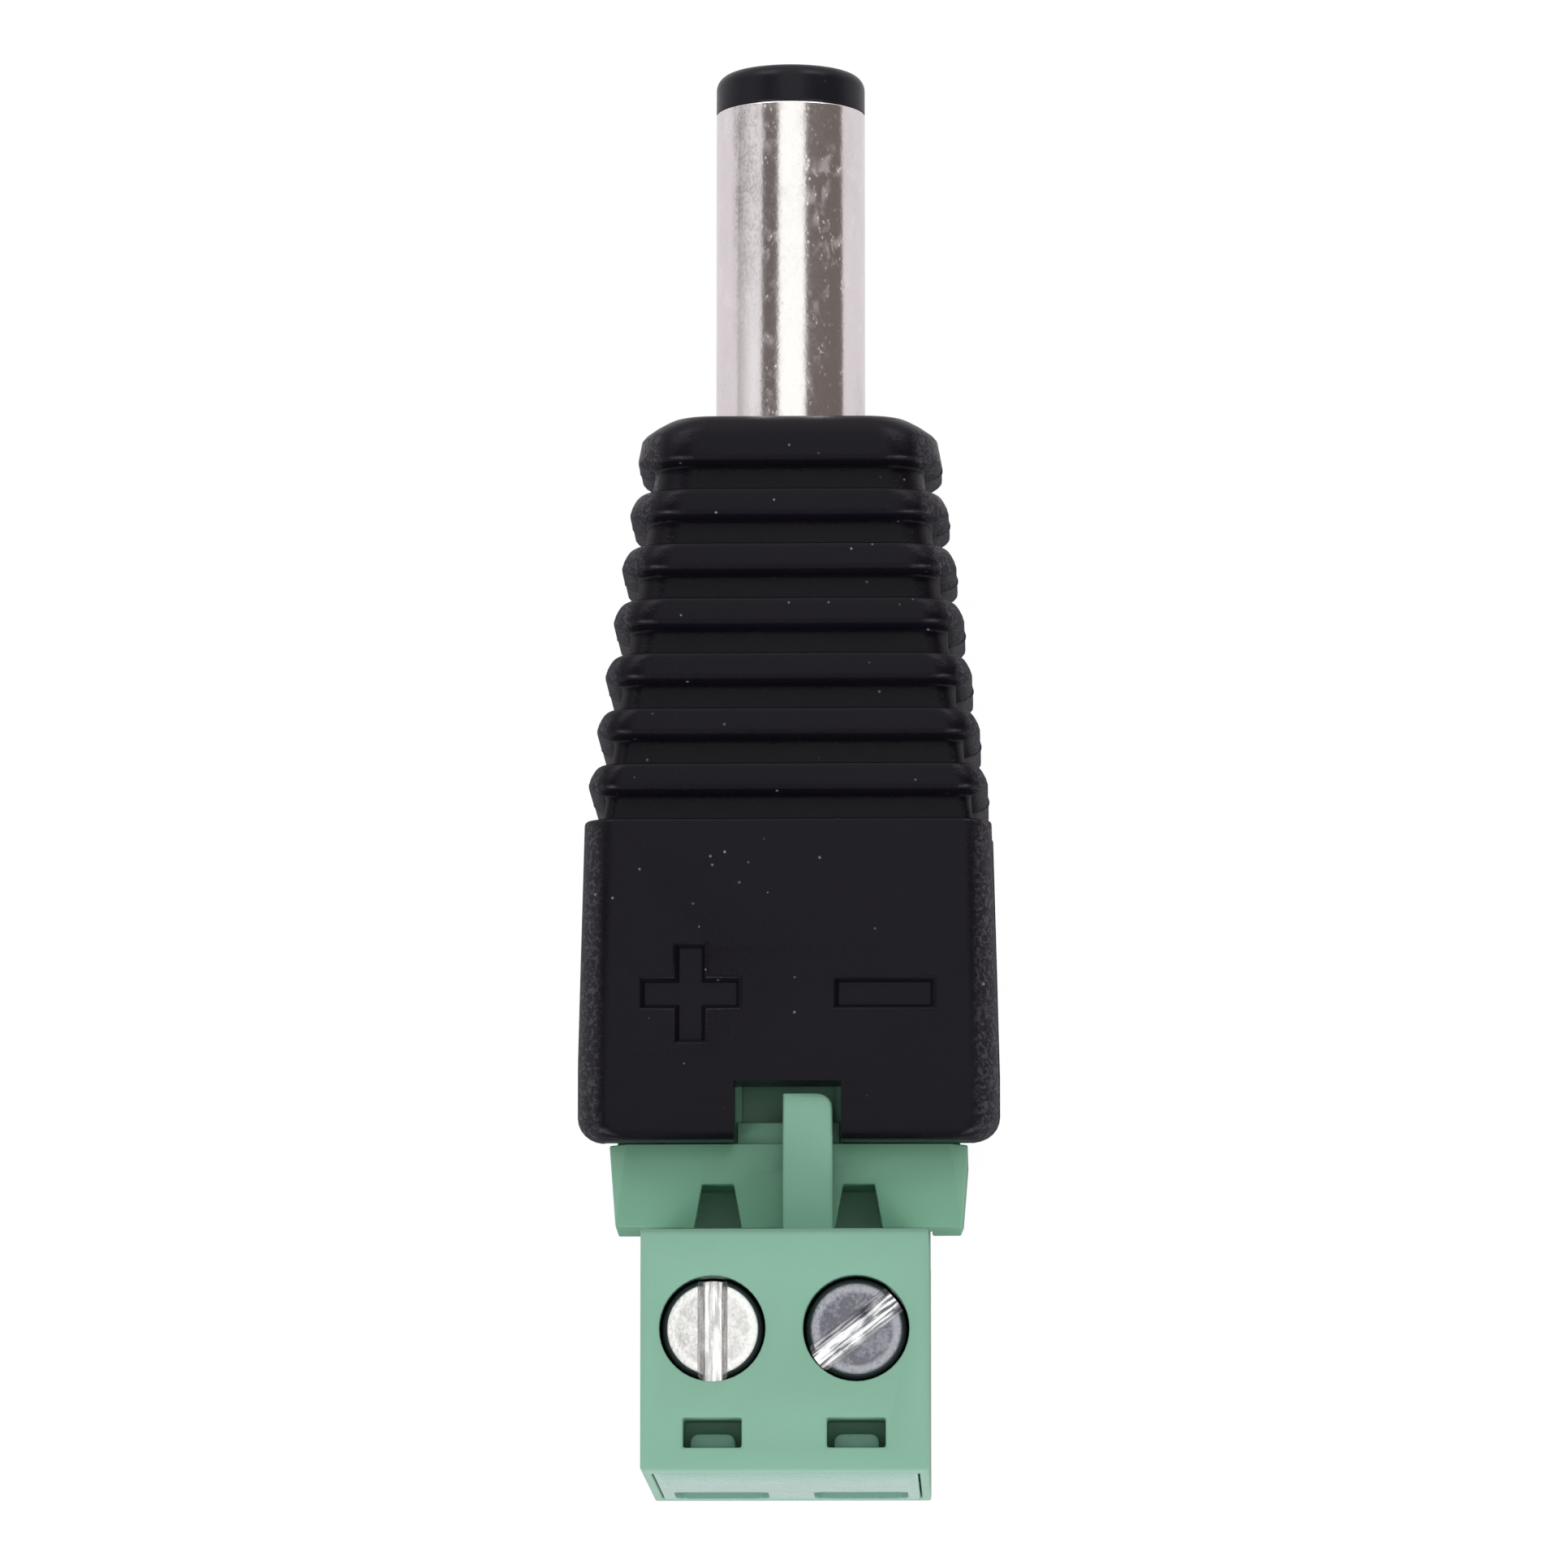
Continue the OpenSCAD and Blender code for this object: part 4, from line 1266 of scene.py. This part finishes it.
@dataclass
class Terminal:
    """The pluggable terminal block: its body, its latch arm and the cover with the wire entries."""

    edge: float = 0.09
    cover_edge: float = 0.063
    arm_half: float = 0.89
    arm_x: float = 0.72
    arm_t: float = 1.0
    arm_bow: float = 0.45
    arm_low: float = 4.3
    arm_reach: float = 1.7
    arm_root: float = 0.1
    arm_length: float = 5.4
    arm_sunk: float = 0.3
    arm_steps: int = 28
    arm_tip_r: float = 0.5
    arm_edge: float = 0.12
    shoulder_y: float = -30.66
    shoulder_gap: float = 0.02

    def body(self) -> Work:
        """The block without its arm.

        Returns:
            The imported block, closed where the arm was and with its edges softened.
        """
        work = cad_copy("terminal_housing")
        cut_y, cut_z = self.shoulder_y + self.shoulder_gap, self.arm_low - self.arm_sunk
        arm = [v for v in work.verts if v.co.y > cut_y and v.co.z > cut_z]
        bmesh.ops.delete(work, geom=arm, context="VERTS")
        bmesh.ops.holes_fill(work, edges=[e for e in work.edges if len(e.link_faces) == 1], sides=0)
        join_flats(work)
        return soften(work, self.edge)

    def arm_section(self, share: float) -> tuple[float, float, float, float]:
        """Where the arm is at a share of its length.

        Args:
            share: 0 at the root, 1 at the tip.

        Returns:
            Its station, lower level, upper level and the width lost at its right side.
        """
        length = self.housing_mouth + self.arm_reach - self.shoulder_y
        bow = self.arm_bow * math.sin(math.pi * share)
        left = (1 - share) * length
        inside = max(0.0, self.arm_tip_r - left)
        lost = self.arm_tip_r - math.sqrt(max(0.0, self.arm_tip_r ** 2 - inside ** 2))
        return (self.shoulder_y + share * length, self.arm_low + self.arm_root * (1 - share) + bow,
                self.arm_low + self.arm_t + bow, lost)

    def arm(self) -> Work:
        """The latch arm.

        Returns:
            A bowed bar with rounded edges and one rounded tip corner.
        """
        self.housing_mouth = millimetres("outer_housing")[0].y
        last = 1 - self.arm_tip_r / self.arm_length
        shares = [last * i / self.arm_steps for i in range(self.arm_steps)]
        shares += [last + (1 - last) * math.sin(math.radians(d)) for d in (0, 20, 40, 60, 75, 86)]
        stations = [self.arm_section(s) for s in shares]
        half, t = self.arm_half, self.arm_t
        plain = Section(0, half, t / 2, self.arm_edge)
        work = loft([replace(plain, y=float(i)) for i in range(len(stations))], 3)
        for vert in work.verts:
            y, low, high, lost = stations[round(vert.co.y)]
            width = (2 * half - lost) / (2 * half)
            vert.co = Vector((self.arm_x - half + (vert.co.x + half) * width, y,
                              (low + high) / 2 + vert.co.z * (high - low) / t))
        root = min(v.co.y for v in work.verts)
        for vert in work.verts:
            if vert.co.y < root + 1e-4:
                vert.co.y -= self.arm_sunk
        return outward(work)

    def build(self, block_look: Look, arm_painted_light_look: Look, cover_look: Look) -> None:
        """Builds the three pieces and seats them.

        Args:
            block_look: The block's material.
            arm_painted_light_look: The latch arm's material, a brighter copy of the block's green that
                paints light on it.
            cover_look: The cover's material.
        """
        fit_in(self.body(), "terminal_block", block_look, "terminal", "terminal_housing")
        fit_in(self.arm(), "latch_arm", arm_painted_light_look, "terminal", "terminal_housing")
        cover = soften(cad_copy("terminal_cover"), self.cover_edge)
        fit_in(cover, "entry_cover", cover_look, "terminal", "terminal_cover")


# ---- Clamps ----


@dataclass
class Clamp:
    """One pole's clamp: a slotted screw that draws a cage up to the contact bar."""

    pole: Pole
    slot_angle: float
    head_r: float = 1.78
    head_seat: float = 8.77
    shank_r: float = 1.45
    thread_depth: float = 0.2
    thread_pitch: float = 0.5
    crest: Span = (0.2, 0.28)
    point: float = 0.1
    neck: float = 0.5
    ease: float = 0.05
    slot_w: float = 0.58
    slot_top_w: float = 1.06
    slot_above: float = 0.5
    rim_r: float = 0.2
    facets: int = 72
    cage_edge: float = 0.06

    def screw(self) -> Work:
        """The screw.

        Returns:
            A cheese head with a rounded rim and a slot, on a threaded shank.
        """
        centre = screw_centre(self.pole)
        bottom = millimetres(f"{self.pole.prefix}_clamp_screw")[0].z
        core, ease = self.shank_r - self.thread_depth, self.ease
        profile = [(0.0, bottom), (core - self.point, bottom)]
        level = bottom + self.point
        while level + self.thread_pitch < self.head_seat - self.neck:
            profile += [(core, level), *((self.shank_r, level + rise) for rise in self.crest)]
            level += self.thread_pitch
        profile += [(core, level), (self.shank_r - ease, level + self.crest[0]),
                    (self.shank_r - ease, self.head_seat), (self.head_r - ease, self.head_seat),
                    (self.head_r, self.head_seat + ease)]
        profile += arc((self.head_r - self.rim_r, HEAD_TOP - self.rim_r), self.rim_r, 0, 90, 6)
        profile.append((0.0, HEAD_TOP))
        work = turned(profile, "Z", self.facets, centre)
        flare = (self.slot_top_w - self.slot_w) / 2 * (SLOT_DEPTH + self.slot_above) / SLOT_DEPTH
        slot = block((-2 * self.head_r, -self.slot_w / 2, HEAD_TOP - SLOT_DEPTH),
                     (2 * self.head_r, self.slot_w / 2, HEAD_TOP + self.slot_above), flare)
        turn = Matrix.Rotation(math.radians(self.slot_angle), 3, "Z")
        bmesh.ops.rotate(slot, verts=slot.verts, cent=(0, 0, 0), matrix=turn)
        bmesh.ops.translate(slot, verts=slot.verts, vec=centre)
        return carve(work, [slot])

    def build(self, screw_look: Look, cage_look: Look) -> None:
        """Builds the screw and the cage and seats them.

        Args:
            screw_look: The screw's material.
            cage_look: The cage's material.
        """
        name = self.pole.prefix
        fit_in(self.screw(), f"{name}_screw_turned", screw_look, f"{name}_screw",
               f"{name}_clamp_screw")
        cage = soften(cad_copy(f"{name}_clamp_cage"), self.cage_edge)
        fit_in(cage, f"{name}_cage_pressed", cage_look, f"{name}_cage",
               f"{name}_clamp_cage")


# ---- Studio ----


@dataclass
class Studio:
    """The camera, a white floor and soft light from above and from the left."""

    camera_at: Point = (7.5, -64.8, 349.6)
    camera_tilt: Span = (-1.27, 8.40)
    lens: float = 220.87
    sensor: float = 36.0
    floor_half: float = 2000.0
    floor_gap: float = 0.02
    floor_glow: float = 1.05
    floor_clear: float = 0.9
    shade_colour: Colour = (0.16, 0.15, 0.17)
    pale_colour: Colour = (0.80, 0.765, 0.79)
    shade_side: Span = (9.0, 24.0)
    shade_top: Span = (-2.0, 1.0)
    shade_foot: Span = (38.5, 39.5)
    lamp_size: float = 0.24
    lamp_at: Point = (0.46, -0.46, 0.42)
    lamp_power: float = 1.45
    dome: float = 0.60
    foot_sky: Colour = (0.5, 0.48, 0.52)
    head_sky: Colour = (1.5, 1.48, 1.5)
    foot_fade: Span = (-0.5, -0.25)
    head_fade: Span = (0.55, 0.8)
    bands: tuple[tuple[float, float, Colour], ...] = (
        (-110, 0.80, COOL), (-104, 0.36, WARM), (-90, 0.50, COOL), (-62, 1.0, COOL), (-47, 0.95, COOL),
        (-43, 0.15, WARM), (-20, 0.15, WARM), (-16, 1.3, BRIGHT), (22, 1.3, BRIGHT), (26, 0.17, WARM),
        (90, 0.17, WARM), (96, 0.85, COOL))
    glint: float = 5.0
    glint_zone: tuple[Span, Span, Span] = ((0.22, 0.36), (0.54, 0.64), (0.30, 0.40))

    def camera(self) -> None:
        """Places the camera."""
        data = bpy.data.cameras.new("camera")
        data.lens, data.sensor_width, data.clip_start = self.lens, self.sensor, 0.01
        made = stand("camera", data)
        across, along = (math.tan(math.radians(a)) for a in self.camera_tilt)
        forward = Vector((across, along, -1)).normalized()
        right = forward.cross(Vector((0, 1, 0))).normalized()
        up = right.cross(forward)
        made.matrix_world = Matrix.Translation(Vector(self.camera_at) * MM) @ Matrix(
            (right, up, -forward)).transposed().to_4x4()
        bpy.context.scene.camera = made

    def floor(self) -> None:
        """Lays the floor just under the plug, with a painted shadow round it that only glossy and
        transmission rays see.
        """
        lowest = min(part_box(n)[0].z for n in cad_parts)
        work = bmesh.new()
        bmesh.ops.create_grid(work, x_segments=1, y_segments=1, size=self.floor_half)
        bmesh.ops.translate(work, verts=work.verts, vec=(0, 0, lowest / MM - self.floor_gap))
        made, graph = material("floor_white")
        rays = graph.node("LightPath")
        seen = rays["Is Camera Ray"].largest(rays["Is Glossy Ray"]).largest(rays["Is Transmission Ray"])
        matt = graph.node("BsdfDiffuse", None, {"Color": (0.9, 0.9, 0.9)})
        # Painted shadow: glossy and transmission rays see the floor darkened round the plug's footprint,
        # since the glowing floor shows no shadow there.
        x, y, _ = graph.parts(graph.place())
        ends = (y / MM).rise(*self.shade_top).largest((y / -MM).rise(*self.shade_foot))
        clear = (x / MM).largest(x / -MM).rise(*self.shade_side).largest(ends)
        pale = graph.mix(clear, self.shade_colour, self.pale_colour)
        white = graph.mix(rays["Is Camera Ray"], pale, WHITE)
        glow = graph.node("Emission", None, {"Color": white, "Strength": self.floor_glow})
        share = seen * self.floor_clear
        both = graph.node("MixShader", None, {0: share, 1: matt["BSDF"], 2: glow["Emission"]})
        graph.node("OutputMaterial", None, {"Surface": both["Shader"]})
        finish_mesh(work, "floor", made)

    def world(self) -> None:
        """Lights the room: a softbox overhead, a pale wall on the left, dark room between them."""
        world = bpy.data.worlds.new("room")
        bpy.context.scene.world = world
        world.use_nodes = True
        graph = Graph(world.node_tree)
        rays = graph.node("LightPath")
        x, y, z = graph.parts(graph.node("TexCoord")["Generated"])
        turn = x.angle_from(z) / FULL_TURN + 0.5
        stops = [(degrees / 360 + 0.5, tuple(level * c for c in tint))
                 for degrees, level, tint in self.bands]
        bands = graph.node("ValToRGB", {"stops": stops}, {"Fac": turn})["Color"]
        sky = graph.mix(y.rise(*self.foot_fade), self.foot_sky, bands)
        side, end, up = self.glint_zone
        glint = x.largest(x * -1).rise(*side) * y.largest(y * -1).rise(*end) * z.rise(*up)
        sky = graph.mix(glint, graph.mix(y.rise(*self.head_fade), sky, self.head_sky), (self.glint,) * 3)
        shown = graph.mix(rays["Is Camera Ray"], sky, WHITE)
        even = graph.mix(rays["Is Diffuse Ray"], shown, (self.dome,) * 3)
        back = graph.node("Background", None, {"Color": even, "Strength": 1.0})
        graph.node("OutputWorld", None, {"Surface": back["Background"]})

    def lamps(self) -> None:
        """Hangs a soft lamp on either side, both towards the terminal's end."""
        for name, side in (("left_softbox", -1), ("right_softbox", 1)):
            data = bpy.data.lights.new(name, "AREA")
            data.shape, data.size, data.energy = "SQUARE", self.lamp_size, self.lamp_power
            made = stand(name, data)
            made.location = (side * self.lamp_at[0], *self.lamp_at[1:])
            made.rotation_euler = (-made.location).to_track_quat("-Z", "Y").to_euler()

    def build(self) -> None:
        """Sets up the whole studio."""
        bpy.context.scene.view_settings.view_transform = "Standard"
        self.camera()
        self.floor()
        self.world()
        self.lamps()
        log.info("studio ready")


# ---- Assembly ----


def dress(look: Look, *nodes: str) -> None:
    """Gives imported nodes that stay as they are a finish.

    Args:
        look: The material.
        nodes: The nodes.
    """
    for node in nodes:
        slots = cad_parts[node].data.materials
        slots.clear()
        slots.append(look)
        log.info("%s dressed in %s", node, look.name)


def main() -> None:
    """Builds the studio and every sub-assembly in order."""
    logging.basicConfig(level=logging.INFO, format="%(name)s: %(message)s")
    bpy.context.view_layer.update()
    Studio().build()
    tinned, cage = TINNED_METAL.make(), CAGE_NICKEL.make()
    tip, copper = TIP_BLACK.make(), COPPER_WIRE.make()
    dress(CONTACT_BRASS.make(), "centre_contact")
    dress(tip, "rear_insulator")
    dress(tinned, "sleeve_tag", "positive_header_pin", "negative_header_pin",
          "positive_contact_spring", "negative_contact_spring")
    dress(copper, "positive_lead_conductor", "negative_lead_conductor")
    dress(RED_INSULATION.make(), "positive_lead_insulation")
    dress(BLACK_INSULATION.make(), "negative_lead_insulation")
    Housing().build(HOUSING_BLACK.make())
    Barrel().build(BARREL_NICKEL.make(), tip)
    Header().build(HEADER_GREEN.make())
    Terminal().build(TERMINAL_GREEN.make(), LATCH_GREEN_PAINTED_LIGHT.make(), COVER_GREEN.make())
    for pole, slot_angle in ((Pole.POSITIVE, 90.0), (Pole.NEGATIVE, 38.0)):
        Clamp(pole, slot_angle).build(screw_zinc(pole, slot_angle).make(), cage)


if __name__ == "__main__":
    main()
